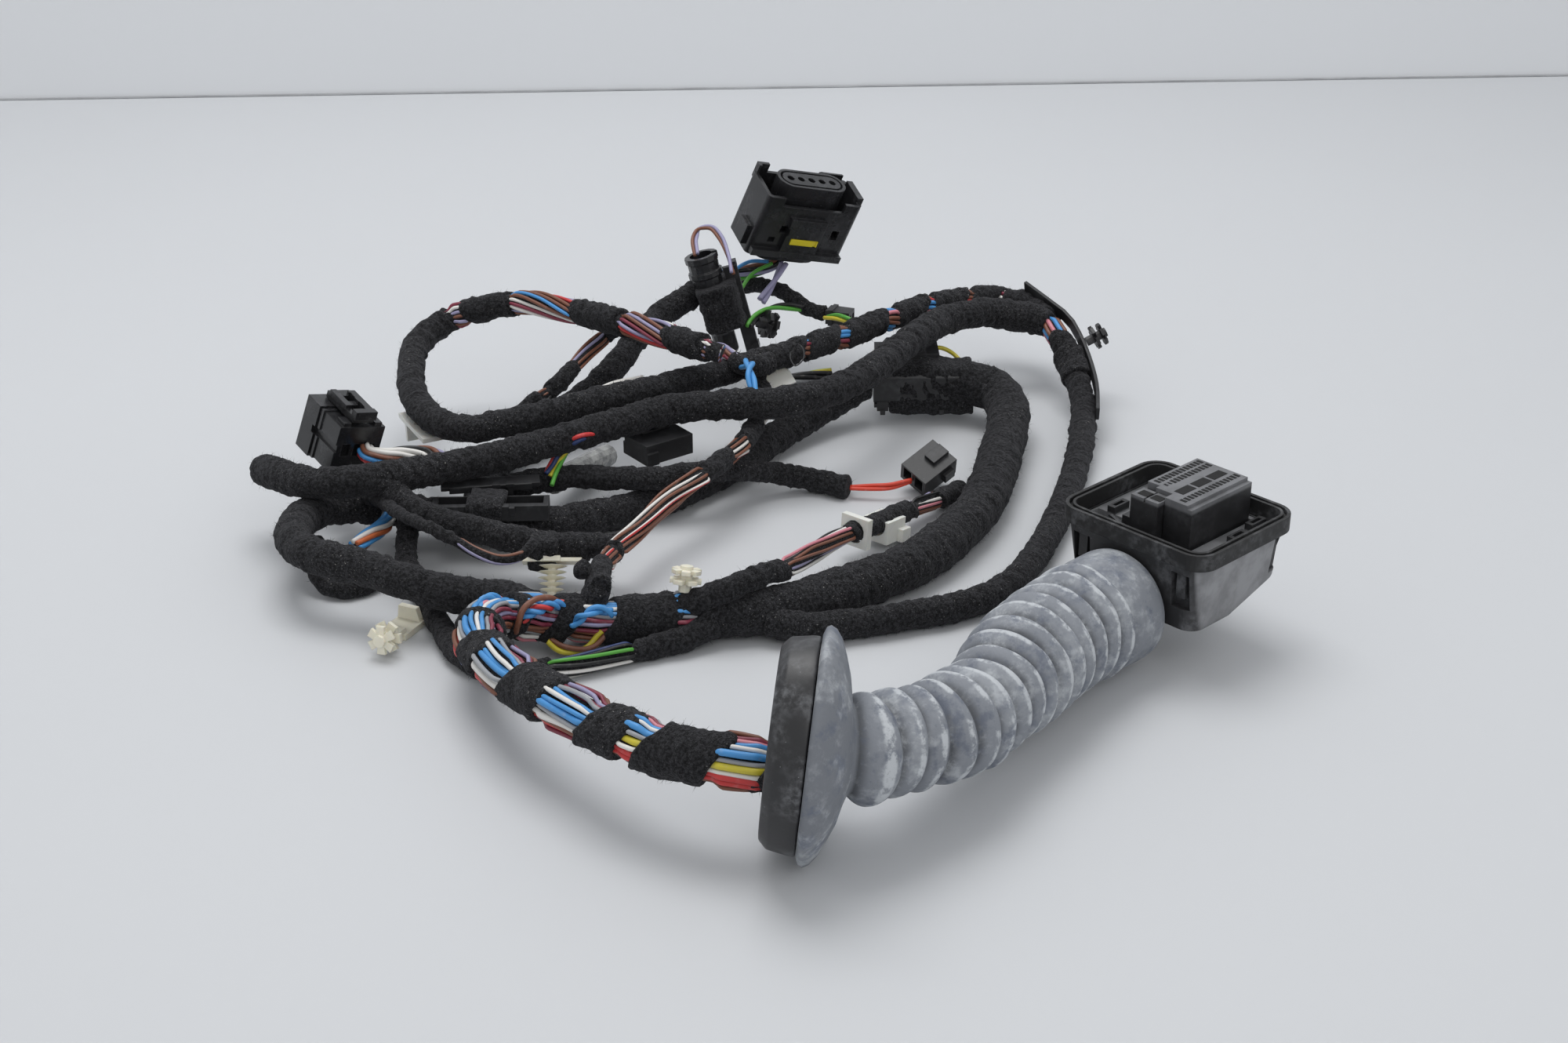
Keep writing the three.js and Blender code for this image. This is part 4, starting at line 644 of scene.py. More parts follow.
def boot_rubber():
    """Grey rubber: chalk in long smears, a pale line of chalk colour along the crests that is partly
    chalk and partly a painted highlight, valleys darkened as painted shade, bluish rubbed patches
    and fine grain."""
    look = settings("boot")
    f = Finish("Boot rubber", look.rubber_colour, 0.6, specular_ior_level=0.35)
    crest = Sock(f.tree, f.node("ShaderNodeSeparateColor", {
        "Color": f.attribute("pleat")}).outputs["Red"])
    patch = f.grain(0.02, 4.0, 0.62)
    streak = f.grain(0.006, 4.0, 0.7, seed=4.0)
    rubbed = f.grain(0.009, 4.0, 0.66, seed=11.0)
    spots = f.grain(0.0016, 2.0, 0.6, seed=8.0)
    # painted highlight: a pale line of chalk colour along each crest, partly chalk on the rubber and
    # partly the light that catches the crests
    line = crest.clipped(0.9, 1.0) * streak.clipped(0.38, 0.6)
    bloom_and_highlight = (line * 0.8 + patch.clipped(0.38, 0.64) * 0.4 + streak.clipped(0.42, 0.7) * 0.4
             ).clipped(0.1, 1.1)
    # painted shade: the rubber darkens to a third of its colour where the crest share falls, in the
    # pleat valleys and inside the bore
    ground = f.mixed(crest.clipped(0.05, 0.7), shaded(look.rubber_colour, 0.34),
                     look.rubber_colour)
    dark = tuple(c * k for c, k in zip(look.rubber_colour, (0.52, 0.56, 0.66)))
    worn = f.mixed(rubbed.clipped(0.5, 0.66) * 0.75, ground, dark)
    dusty = f.mixed(bloom_and_highlight * 0.8, worn, look.chalk_colour)
    f.link("Base Color", f.mixed(spots.clipped(0.62, 0.74) * 0.3, dusty, dark))
    f.link("Roughness", 0.48 + 0.3 * streak)
    f.relief(streak * 0.7 + spots * 0.3, 0.0007, 0.5)
    return f.material


def moulded(name, colour, roughness, dust=0.0, grain=0.00022, depth=0.00006, side=None):
    """Moulded plastic: rounded edges, fine texture, and dust in patches and specks.  A side is a
    colour setting, a normal and a distance: what lies farther out along that normal takes it."""
    look = settings("plastic")
    f = Finish(name, colour, roughness)
    fine = f.grain(grain, 2.0)
    cloud = f.grain(0.014, 3.0, 0.6)
    speck = f.grain(0.0007, 1.0, 0.5, seed=9.0).clipped(0.76, 0.82)
    tinted = f.mixed(cloud, shaded(colour, 0.8), shaded(colour, 1.2))
    dusty = (cloud.clipped(0.42, 0.7) * f.grain(0.0028, 3.0, 0.65, seed=5.0).clipped(0.35, 0.7)
             * dust + speck * min(dust + 0.18, 0.6))
    shade = f.mixed(dusty, tinted, look.dust_colour)
    # a side's colour: dust on the plug's side, painted light on the pin blocks' tops, and on the tray
    # partly its own grey and partly painted light
    if side:
        out = Sock(f.tree, f.node("ShaderNodeVectorMath", {0: f.place, 1: side[1]},
                                  operation="DOT_PRODUCT").outputs["Value"])
        streak = f.grain(0.01, 3.0, 0.6, seed=2.0)
        mask = (out - side[2]).clipped(0.0, 0.0012) * (0.6 + 0.4 * streak.clipped(0.35, 0.65))
        shade = f.mixed(mask, shade, getattr(look, side[0]))
    f.link("Base Color", shade)
    f.link("Roughness", roughness - 0.08 + 0.16 * cloud)
    f.relief(fine, depth, 0.5, look.edge_radius)
    return f.material


def pale_nylon(name, colour, roughness):
    """Natural nylon: slightly cloudy, waxy, light from within, with grey smudges."""
    look = settings("plastic")
    f = Finish(name, colour, roughness, subsurface_weight=0.25,
               subsurface_radius=(0.004, 0.003, 0.002), subsurface_scale=0.4)
    cloud = f.grain(0.006, 3.0, 0.6)
    smudge = f.grain(0.0022, 3.0, 0.65, seed=6.0).clipped(0.58, 0.8)
    tinted = f.mixed(cloud, shaded(colour, 0.82), colour)
    f.link("Base Color", f.mixed(smudge * 0.18, tinted, (0.3, 0.28, 0.24)))
    f.relief(cloud, 0.0004, 0.4, look.edge_radius)
    return f.material


def clear_film():
    """Milky film with creases, partly see-through, that turns grey as painted shade where the crease
    bump sinks.
    """
    look = settings("plastic")
    f = Finish("Clear film", look.sleeve_colour, 0.25, alpha=0.86)
    crease = f.grain(0.004, 3.0, 0.65)
    # painted shade: grey in the low parts of the creases, from the noise that also sets the bump
    f.link("Base Color", f.mixed(
        crease.clipped(0.35, 0.65), tone(150, 151, 150), look.sleeve_colour))
    f.relief(crease, 0.0012, 0.6)
    return f.material


# Each finish: its material's name, its maker and, for plastics, the settings' group and name of its
# colour and what else the maker takes
FINISHES = {
    "tape": ("Fleece tape", fleece_tape),
    "wire": ("Wire insulation", wire_insulation),
    "boot": ("Boot rubber", boot_rubber),
    "film": ("Clear film", clear_film),
    "black": ("Moulded black", moulded, "plastic", "black_colour", 0.42, 0.12),
    "gloss": ("Smooth black", moulded, "plastic", "black_colour", 0.26, 0.1),
    "insert": ("Insert black", moulded, "boot", "insert_colour", 0.4, 0.5),
    # near-black patches of painted shade where the contact chambers open
    "void": ("Chamber mouths", moulded, "plastic", "void_colour", 0.8, 0.0),
    "seal": ("Seal rubber", moulded, "plastic", "rubber_colour", 0.62, 0.3, 0.0006, 0.0001),
    "yellow": ("Yellow lock plastic", moulded, "plastic", "yellow_colour", 0.4, 0.1),
    "cream": ("Cream nylon", pale_nylon, "plastic", "cream_colour", 0.42),
    "white": ("White nylon", pale_nylon, "plastic", "white_colour", 0.38),
    "box": ("Dusty plug plastic", moulded, "plastic", "box_colour", 0.5, 0.3),
    "pins": ("Pin block plastic", moulded, "plastic", "black_colour", 0.46, 0.1),
    # below the rim the tray takes its grey, partly its own colour and partly painted light
    "tray": ("Tray plastic", moulded, "plastic", "black_colour", 0.5, 0.15),
}
# Where a finish has a paler side: its colour setting, the side's normal and its distance.  On the
# plug that side is dust; on the pin blocks' tops it is painted light from above, and on the tray
# partly its own grey and partly painted light against the shade of the rim walls
PALE_SIDES = {
    "box": ("side_colour", (0.6896, -0.7242, 0.0), 0.1605),
    "pins": ("face_colour", (0.0, 0.0, 1.0), 0.0538),
    "tray": ("tray_colour", (0.0, 0.0, -1.0), -0.0426),
}


def finish(name):
    """The material of a finish's name, made once."""
    title, make, *plastic = FINISHES[name]
    made = bpy.data.materials.get(title)
    if made or not plastic:
        return made or make()
    group, colour, *sizes = plastic
    sides = {"side": PALE_SIDES[name]} if name in PALE_SIDES else {}
    return make(title, getattr(settings(group), colour), *sizes, **sides)


def dress(name, *nodes):
    """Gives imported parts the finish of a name."""
    for node in nodes:
        mesh = frame["nodes"][node].data
        mesh.materials.clear()
        mesh.materials.append(finish(name))


# Taped cables

# Each cable: diameter, bare stretches along it, its wires in order round the bundle, the angle
# of the first, and the length in which they turn once.  A stretch may name wires of its own.  A
# name with a slash is a wire with a stripe of the second colour, and + makes a wire thicker.
HOME = "blue white blue grey maroon violet maroon brown brown grey white rose brown black " \
       "violet brown blue black navy maroon red+ brown white+ grey blue+"
OUTLET = "yellow+ grey blue+ white blue rose maroon brown grey white brown rose brown black " \
         "violet brown blue black white+ brown black brown red+ red+ white"
SPIRAL = "brown brown rose blue blue red brown brown brown maroon blue blue"
CABLES = {
    "trunk_cable": (0.0165, (
        (0.008, 0.021, OUTLET), (0.0435, 0.0505, OUTLET), (0.066, 0.086), (0.106, 0.126),
        (0.141, 0.155), (0.161, 0.172), (0.179, 0.189), (0.198, 0.209), (0.2325, 0.2385)),
        HOME, 0.0, 0.8),
    "channel_cable": (0.0125, (), "", 0.0, 0.1),
    "long_cable": (0.0115, (), "", 0.0, 0.1),
    "upper_loop": (0.0105, (
        (0.005, 0.012), (0.027, 0.030, SPIRAL), (0.0485, 0.0525, SPIRAL), (0.072, 0.079, SPIRAL),
        (0.102, 0.108, SPIRAL), (0.123, 0.126, SPIRAL), (0.379, 0.386), (0.405, 0.440),
        (0.465, 0.489), (0.504, 0.511)),
        "violet brown maroon violet red brown brown blue brown white maroon white violet brown",
        2.0, 0.12),
    "right_cable": (0.010, ((0.269, 0.279),), "brown rose blue brown brown violet brown", 0.5, 0.3),
    "motor_lead": (0.0105, (), "", 0.0, 0.1),
    "thin_diagonal": (0.0065, ((0.010, 0.031), (0.046, 0.052)),
                      "brown violet maroon black brown brown violet", 1.0, 0.16),
    "middle_lead": (0.0085, (), "", 0.0, 0.1),
    "diagonal_lead": (0.0075, (
        (0.018, 0.030), (0.033, 0.092), (0.108, 0.122), (0.140, 0.160)),
        "white/red brown brown white/red white/red brown black brown white brown", 1.0, 0.3),
    "lower_lead": (0.0095, (), "", 0.0, 0.1),
    "clip_lead": (0.0075, ((0.016, 0.066), (0.104, 0.120)),
                  "brown brown violet white brown violet brown black white rose", 1.0, 0.3),
    "floor_lead": (0.0075, ((0.115, 0.145),),
                   "white green black navy black green black white black", 1.2, 0.25),
    "small_loop": (0.0055, (), "", 0.0, 0.1),
    "violet_lead": (0.005, ((0.059, 0.0919),), "violet brown", 0.6, 0.12),
    "rear_lead": (0.006, (), "", 0.0, 0.1),
}
# Bundles too short for a taped cord: bare wires only
BARE_LEADS = {
    "motor_wires": (0.007, "grey/black brown green violet black brown grey", 0.4, (0, 1, 0)),
    "switch_lead": (0.007, "white brown blue red violet brown black white", 1.2, (0, 0, 1)),
    "two_way_wires": (0.003, "cherry cherry", 0.0, (0, 0, 1)),
    "blue_lead": (0.006, "blue white orange blue brown black blue", 0.3, (0, 0, 1)),
    "rear_short_lead": (0.007, "black grey black black yellow/green black", 0.9, (0, 0, 1)),
    "lamp_wires": (0.003, "violet brown", 0.0, (0.3, 1, 0)),
}
# The bare leads that go with each cord
CORD_FELLOWS = {
    "motor_lead": ("motor_wires",), "long_cable": ("switch_lead", "rear_short_lead"),
    "middle_lead": ("two_way_wires",), "channel_cable": ("blue_lead",),
    "diagonal_lead": ("lamp_wires",),
}


# Sizes of the taped skin: its mesh step, ragged edge, and the noise of lumps, ribs and nubs
SKIN_STEP = 0.0007
RAG = 0.0005
LUMP_SIZE = 0.014
RIB_SIZE = 0.0022
NUB_SIZES = (0.0015, 0.0009)
# Turns the leaning edges of one sleeve away from those of the next
PHASE_STEP = 2.399
# Share of the radius at which a sleeve's ends turn in
TUCK = 0.66
# Bare wires run on under the tape by this much, and stay this far from the cable's own ends
WIRE_TUCK = 0.006
WIRE_END = 0.0003
# The trunk's wires are thinner, and its sleeves lean one way before this distance and then another
TRUNK_WIRE = 0.0016
TRUNK_TURN = 0.16


def tape_sleeve(route, start, end, girth, seed, lean=(0.5, 0.5), phase=None):
    """Wound fleece from start to end: its edges lean by lean x girth x cos(angle - phase), and its
    radius is the girth plus lap height x a saw that climbs once in each lap pitch and turns with
    the helix, plus slow lumps, cross ribs and fine nubs from noise at the point.  The girth is a
    radius, a list of radii along the sleeve, or a function of distance and angle."""
    look = settings("cables")
    pitch = look.lap_pitch
    if callable(girth):
        shape = girth
    else:
        radii = np.atleast_1d(girth)
        knots = np.linspace(start, end, len(radii))

        def shape(s, angle):
            return np.interp(s, knots, radii)

    wide = float(np.max(shape(np.array([[start, end]]), np.zeros((1, 2)))))
    rows = max(int((end - start) / SKIN_STEP), 5) + 1
    sides = max(int(TURN * wide / SKIN_STEP), 18)
    share = np.linspace(0, 1, rows)[:, None]
    angle = np.arange(sides)[None, :] * TURN / sides + np.zeros((rows, 1))
    if phase is None:
        phase = seed * PHASE_STEP
    tilt = wide * np.cos(angle - phase)
    ragged = RAG * noise(
        np.stack((angle * 0.004, angle * 0, angle * 0 + seed), -1), 0.002, seed)
    s = ((start + lean[0] * tilt + ragged * (lean[0] > 0)) * (1 - share)
         + (end + lean[1] * tilt + ragged * (lean[1] > 0)) * share)
    radius = shape(s, angle)
    base = route.around(s, angle, radius)
    wave = s / pitch - angle / TURN + 0.16 * noise(base, 0.02, seed)
    climb = wave - np.floor(wave)
    lap = climb * (1 - smoothstep(climb, 0.88, 1.0)) - 0.35
    lumps = 0.5 + 0.5 * noise(base, LUMP_SIZE, seed + 5)
    along = s - pitch * angle / TURN
    ribs = noise(np.stack((
        along, radius * np.cos(angle) * 0.35, radius * np.sin(angle) * 0.35), -1),
        RIB_SIZE, seed + 17)
    nubs = noise(base, NUB_SIZES[0], seed + 9) * 0.6 + noise(base, NUB_SIZES[1], seed + 13) * 0.4
    grown = (radius + look.lap_height * lap + look.lump_height * lumps - 0.0003
             + look.fleece_height * (0.5 * nubs + 0.6 * ribs - 0.1))
    rim = np.minimum(share, 1 - share) * (end - start)
    grown = grown - RAG * (1 - smoothstep(rim, 0.0, 0.0008))
    outside = route.around(s, angle, grown)
    first = route.around(s[0], angle[0], radius[0] * TUCK)
    last = route.around(s[-1], angle[-1], radius[-1] * TUCK)
    return np.concatenate((first[None], outside, last[None]))


def wire_colours(name, rows, ring):
    """Colours of a wire's grid: the first colour all round, and the stripe where
    cos(angle - 0.5) > 0.72."""
    base, _, stripe = name.partition("/")
    shades = np.broadcast_to(np.array(WIRE_COLOURS[base]), (rows, ring, 3)).copy()
    if stripe:
        angle = np.arange(ring) * TURN / ring
        shades[:, np.cos(angle - 0.5) > 0.72] = WIRE_COLOURS[stripe]
    return shades


# Wires in a bundle: how deep they lie under the tape, how far they swell out of it and over which
# distances from the ends, and the corners of each wire
WIRE_SINK = 0.0015
WIRE_SWELL = 0.0013
SWELL_RISE = (0.0045, 0.008)
WIRE_SIDES = 10
# Fibres of the fleece: shortest and longest, and their radius at the foot
FIBRE_LENGTHS = (0.0005, 0.0019)
FIBRE_RADIUS = 0.00005


def lay_wires(skin, route, start, end, radius, names, turn, seed, lay, size=None, loose=0.1):
    """Wires round a bundle: each stands at angle turn + share of the circle x 2pi + s x 2pi / lay,
    on a circle of radius - thin - sink that swells by smoothstep(distance from the nearer end)
    over the rise, both shaken by slow noise.  All widths are scaled so that they fill the round,
    and a + makes a wire half as thick again."""
    look = settings("cables")
    size = size or look.wire_diameter
    room = TURN * (radius - 0.0009 - size / 2)
    thick = [size * (1.5 if name.endswith("+") else 1) for name in names]
    widths = (thick * (int(room / sum(thick)) + 2))[:max(len(names), 1)]
    while sum(widths) < room * 0.94:
        widths.append(thick[len(widths) % len(names)])
    scale = room / sum(widths)
    widths = [width * scale for width in widths]
    filled = sum(widths)
    rows = max(int((end - start) / 0.001), 7) + 1
    s = np.linspace(start, end, rows)
    swell = WIRE_SWELL * smoothstep(np.minimum(s - start, end - s), *SWELL_RISE)
    spin = np.arange(WIRE_SIDES) * TURN / WIRE_SIDES
    middle, side, lift = route.frame(s)
    for k, width in enumerate(widths):
        thin = min(width * 0.49, size * 0.75)
        circle = radius - thin - WIRE_SINK
        trace = np.stack((s, np.full(rows, k * 0.37), np.full(rows, seed * 0.11)), -1)
        sway = noise(trace, 0.022, seed + k)
        angle = (turn + (sum(widths[:k]) + width / 2) / filled * TURN + s * TURN / lay
                 + loose * sway)
        shake = noise(trace, 0.018, seed + k + 31)
        reach = circle + swell * (1 + 0.8 * shake) + loose * circle * (shake - 0.6) * 0.5
        outward = np.cos(angle)[:, None] * side + np.sin(angle)[:, None] * lift
        across = -np.sin(angle)[:, None] * side + np.cos(angle)[:, None] * lift
        centre = middle + reach[:, None] * outward
        grid = (centre[:, None] + thin * (np.cos(spin)[None, :, None] * outward[:, None]
                                          + np.sin(spin)[None, :, None] * across[:, None]))
        name = names[k % len(names)].rstrip("+")
        skin.add(grid, colour=wire_colours(name, rows, WIRE_SIDES))


def strands(skin, route, names, size, pitch, turn=0.0):
    """Wires twisted round one another: wire j runs at angle turn + j 2pi / n + s 2pi / pitch, as
    far from the middle as lets neighbours touch, size / 2 / sin(pi / n)."""
    rows = max(int(route.length / 0.0009), 6) + 1
    s = np.linspace(0, route.length, rows)
    ring = np.arange(WIRE_SIDES) * TURN / WIRE_SIDES
    middle, side, lift = route.frame(s)
    reach = size / 2 / math.sin(math.pi / len(names)) if len(names) > 1 else 0.0
    for j, name in enumerate(names):
        angle = turn + j * TURN / len(names) + s * TURN / pitch
        centre = (middle + reach * np.cos(angle)[:, None] * side
                  + reach * np.sin(angle)[:, None] * lift)
        grid = centre[:, None] + size / 2 * (np.cos(ring)[None, :, None] * side[:, None]
                                             + np.sin(ring)[None, :, None] * lift[:, None])
        skin.add(grid, colour=wire_colours(name, rows, WIRE_SIDES))


def fuzz(skin, sleeve, seed, each=0.0012):
    """Fibres that stand off the fleece, from places drawn at random: one for each 6 x each x each
    of its skin, out from the middle line and bent over by 0.9 x the square of the way out."""
    draw = np.random.default_rng(seed)
    rows, sides = sleeve.shape[0] - 2, sleeve.shape[1]
    length = np.linalg.norm(sleeve[1:-1].mean(1)[1:] - sleeve[1:-1].mean(1)[:-1], axis=-1).sum()
    girth = np.linalg.norm(sleeve[1] - sleeve[1].mean(0), axis=-1).mean() * TURN
    count = int(length * girth / each / each / 6)
    i, j = draw.integers(1, rows + 1, count), draw.integers(0, sides, count)
    foot, middle = sleeve[i, j], sleeve.mean(1)[i]
    out = unit(foot - middle)
    bend = unit(np.cross(out, draw.normal(size=(count, 3))))
    long = draw.uniform(*FIBRE_LENGTHS, count)[:, None]
    for a in range(count):
        t = np.array((-0.1, 0.4, 0.75, 1.0))[:, None]
        line = foot[a] + long[a] * (t * out[a] + 0.9 * t ** 2 * bend[a])
        third = np.cross(out[a], bend[a])
        thick = FIBRE_RADIUS * (1.1 - t)[:, None]
        skin.add(line[:, None] + thick * np.array((bend[a], third, -bend[a] - third))[None],
                 ends=False)


def taped_cable(name, number):
    """One cable: a dark core, fleece sleeves between its bare stretches, and the wires in them."""
    diameter, bare, names, turn, lay = CABLES[name]
    radius = diameter / 2
    route = Route(CABLE_ROUTES[name])
    skin, fibres, wires = Surface(), Surface(), Surface()
    core = radius * 0.72 if bare else radius * 0.8
    skin.add(tube(route, 0.0004, route.length - 0.0004, core, 20, 0.002))
    edges = [0.0] + [edge for stretch in bare for edge in stretch[:2]] + [route.length]
    for k in range(0, len(edges), 2):
        start, end = edges[k], edges[k + 1]
        if end - start > 0.0015:
            phase = number * 1.7 + 0.3
            if name == "trunk_cable":
                phase = -1.3 if start < TRUNK_TURN else 1.84
            sleeve = tape_sleeve(route, start, end, radius, number * 7 + k, (
                0.0 if start == 0 else 0.6, 0.0 if end == route.length else 0.6), phase)
            skin.add(sleeve)
            fuzz(fibres, sleeve, number * 7 + k)
    for start, end, *other in bare:
        lay_wires(wires, route, max(start - WIRE_TUCK, WIRE_END),
                  min(end + WIRE_TUCK, route.length - WIRE_END), radius,
                  (other or [names])[0].split(), turn, number, lay,
                  TRUNK_WIRE if name == "trunk_cable" else None)
    tape = skin.piece(name + "_tape", finish("tape"))
    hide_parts(name)
    fibres.piece(name + "_fibres", finish("tape"))
    pieces = [wires.piece(name + "_wires", finish("wire"), attribute="wire")] if bare else []
    return route, tape, pieces


def bare_lead(name, number):
    """A short bundle of bare wires twisted round one another between their two ends."""
    diameter, names, turn, up = BARE_LEADS[name]
    route = Route(CABLE_ROUTES[name], up)
    size = 0.0015 if diameter < 0.004 else settings("cables").wire_diameter
    wires = Surface()
    strands(wires, route, names.split(), size, 0.07, turn)
    if diameter > 0.004:
        wires.add(tube(route, 0.0005, route.length - 0.0005, diameter * 0.2, 8),
                  colour=WIRE_COLOURS["black"])
    piece = wires.piece(name + "_strands", finish("wire"), attribute="wire")
    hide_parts(name)
    return piece


class HARNESS_OT_cables(bpy.types.Operator):
    """Taped cables with the bare stretches where their coloured wires show"""
    bl_idname = "harness.cables"
    bl_label = "Taped cables"

    def execute(self, context):
        short = {name: bare_lead(name, k) for k, name in enumerate(BARE_LEADS)}
        for number, name in enumerate(CABLES):
            route, tape, pieces = taped_cable(name, number)
            for fellow in CORD_FELLOWS.get(name, ()):
                pieces.append(short[fellow])
            tuple(route.middle(np.array(0.0)))
            route.points(40)
        return {"FINISHED"}


# Tape that carries a cable's end into its neighbour: radii along it, then its points, or the
# name of a cable that it goes round and the distances at which it starts and ends
TAPE_JOINTS = (
    ((0.0036, 0.0042, 0.0046, 0.004), ((0.01, -0.0462, 0.021), (0.002, -0.053, 0.0208),
     (-0.009, -0.056, 0.017), (-0.021, -0.0555, 0.0118))),
    ((0.0038, 0.0043, 0.004), ((-0.0468, -0.05, 0.0212), (-0.0474, -0.0545, 0.02),
     (-0.05, -0.058, 0.012))),
    ((0.0024, 0.0029, 0.0024), ((-0.0512, -0.049, 0.025), (-0.0522, -0.0508, 0.0245),
     (-0.0522, -0.0528, 0.0225))),
    ((0.0044, 0.0046, 0.0046), ((-0.066, 0.0385, 0.0173), (-0.076, 0.0362, 0.017),
     (-0.088, 0.031, 0.0165))),
    ((0.0049, 0.0045, 0.0036), ((-0.06, -0.0138, 0.015), (-0.05, -0.015, 0.0158),
     (-0.042, -0.019, 0.0185))),
    ((0.0064, 0.0066, 0.0068), ((-0.087, -0.0506, 0.0138), (-0.078, -0.051, 0.013),
     (-0.07, -0.056, 0.0122))),
    ((0.0038, 0.0042, 0.0045), ((-0.12, -0.002, 0.01), (-0.1204, 0.006, 0.0125),
     (-0.1212, 0.016, 0.0125))),
    ((0.0048, 0.0052, 0.0052), ((-0.111, -0.003, 0.0205), (-0.119, 0.0015, 0.0228),
     (-0.127, 0.0075, 0.029))),
    ((0.0039, 0.0044, 0.0048), ((-0.031, -0.069, 0.0042), (-0.02, -0.064, 0.005),
     (-0.008, -0.058, 0.008))),
    ((0.0052, 0.0056, 0.0056), ((0.036, -0.0546, 0.0056), (0.024, -0.0585, 0.006),
     (0.01, -0.0555, 0.008))),
    ((0.0056, 0.0066, 0.0066, 0.0062), ((0.1262, 0.166, 0.029), (0.1215, 0.169, 0.0297),
     (0.115, 0.1697, 0.0306), (0.104, 0.1696, 0.0327))),
    ((0.0056, 0.0062, 0.0064, 0.0058), ((0.11, 0.1912, 0.03), (0.119, 0.1875, 0.029),
     (0.1246, 0.1795, 0.0285), (0.1262, 0.17, 0.0288))),
    ((0.0084, 0.0086, 0.0086), ((0.101, 0.127, 0.0155), (0.092, 0.1322, 0.0164),
     (0.081, 0.1338, 0.0158))),
    ((0.003, 0.0034, 0.0036), ((-0.133, 0.013, 0.0212), (-0.1352, 0.018, 0.019),
     (-0.137, 0.023, 0.015))),
    ((0.0033, 0.0036, 0.004), ((0.0062, 0.093, 0.029), (0.0055, 0.0975, 0.033),
     (0.003, 0.103, 0.037))),
    ((0.0064, 0.0066), ("right_cable", 0.247, 0.262)),
    ((0.0036, 0.0044, 0.0044, 0.0042), ((-0.0045, 0.0962, 0.0415), (-0.0008, 0.0932, 0.0405),
     (0.0045, 0.094, 0.0395), (0.0105, 0.0985, 0.039))),
)
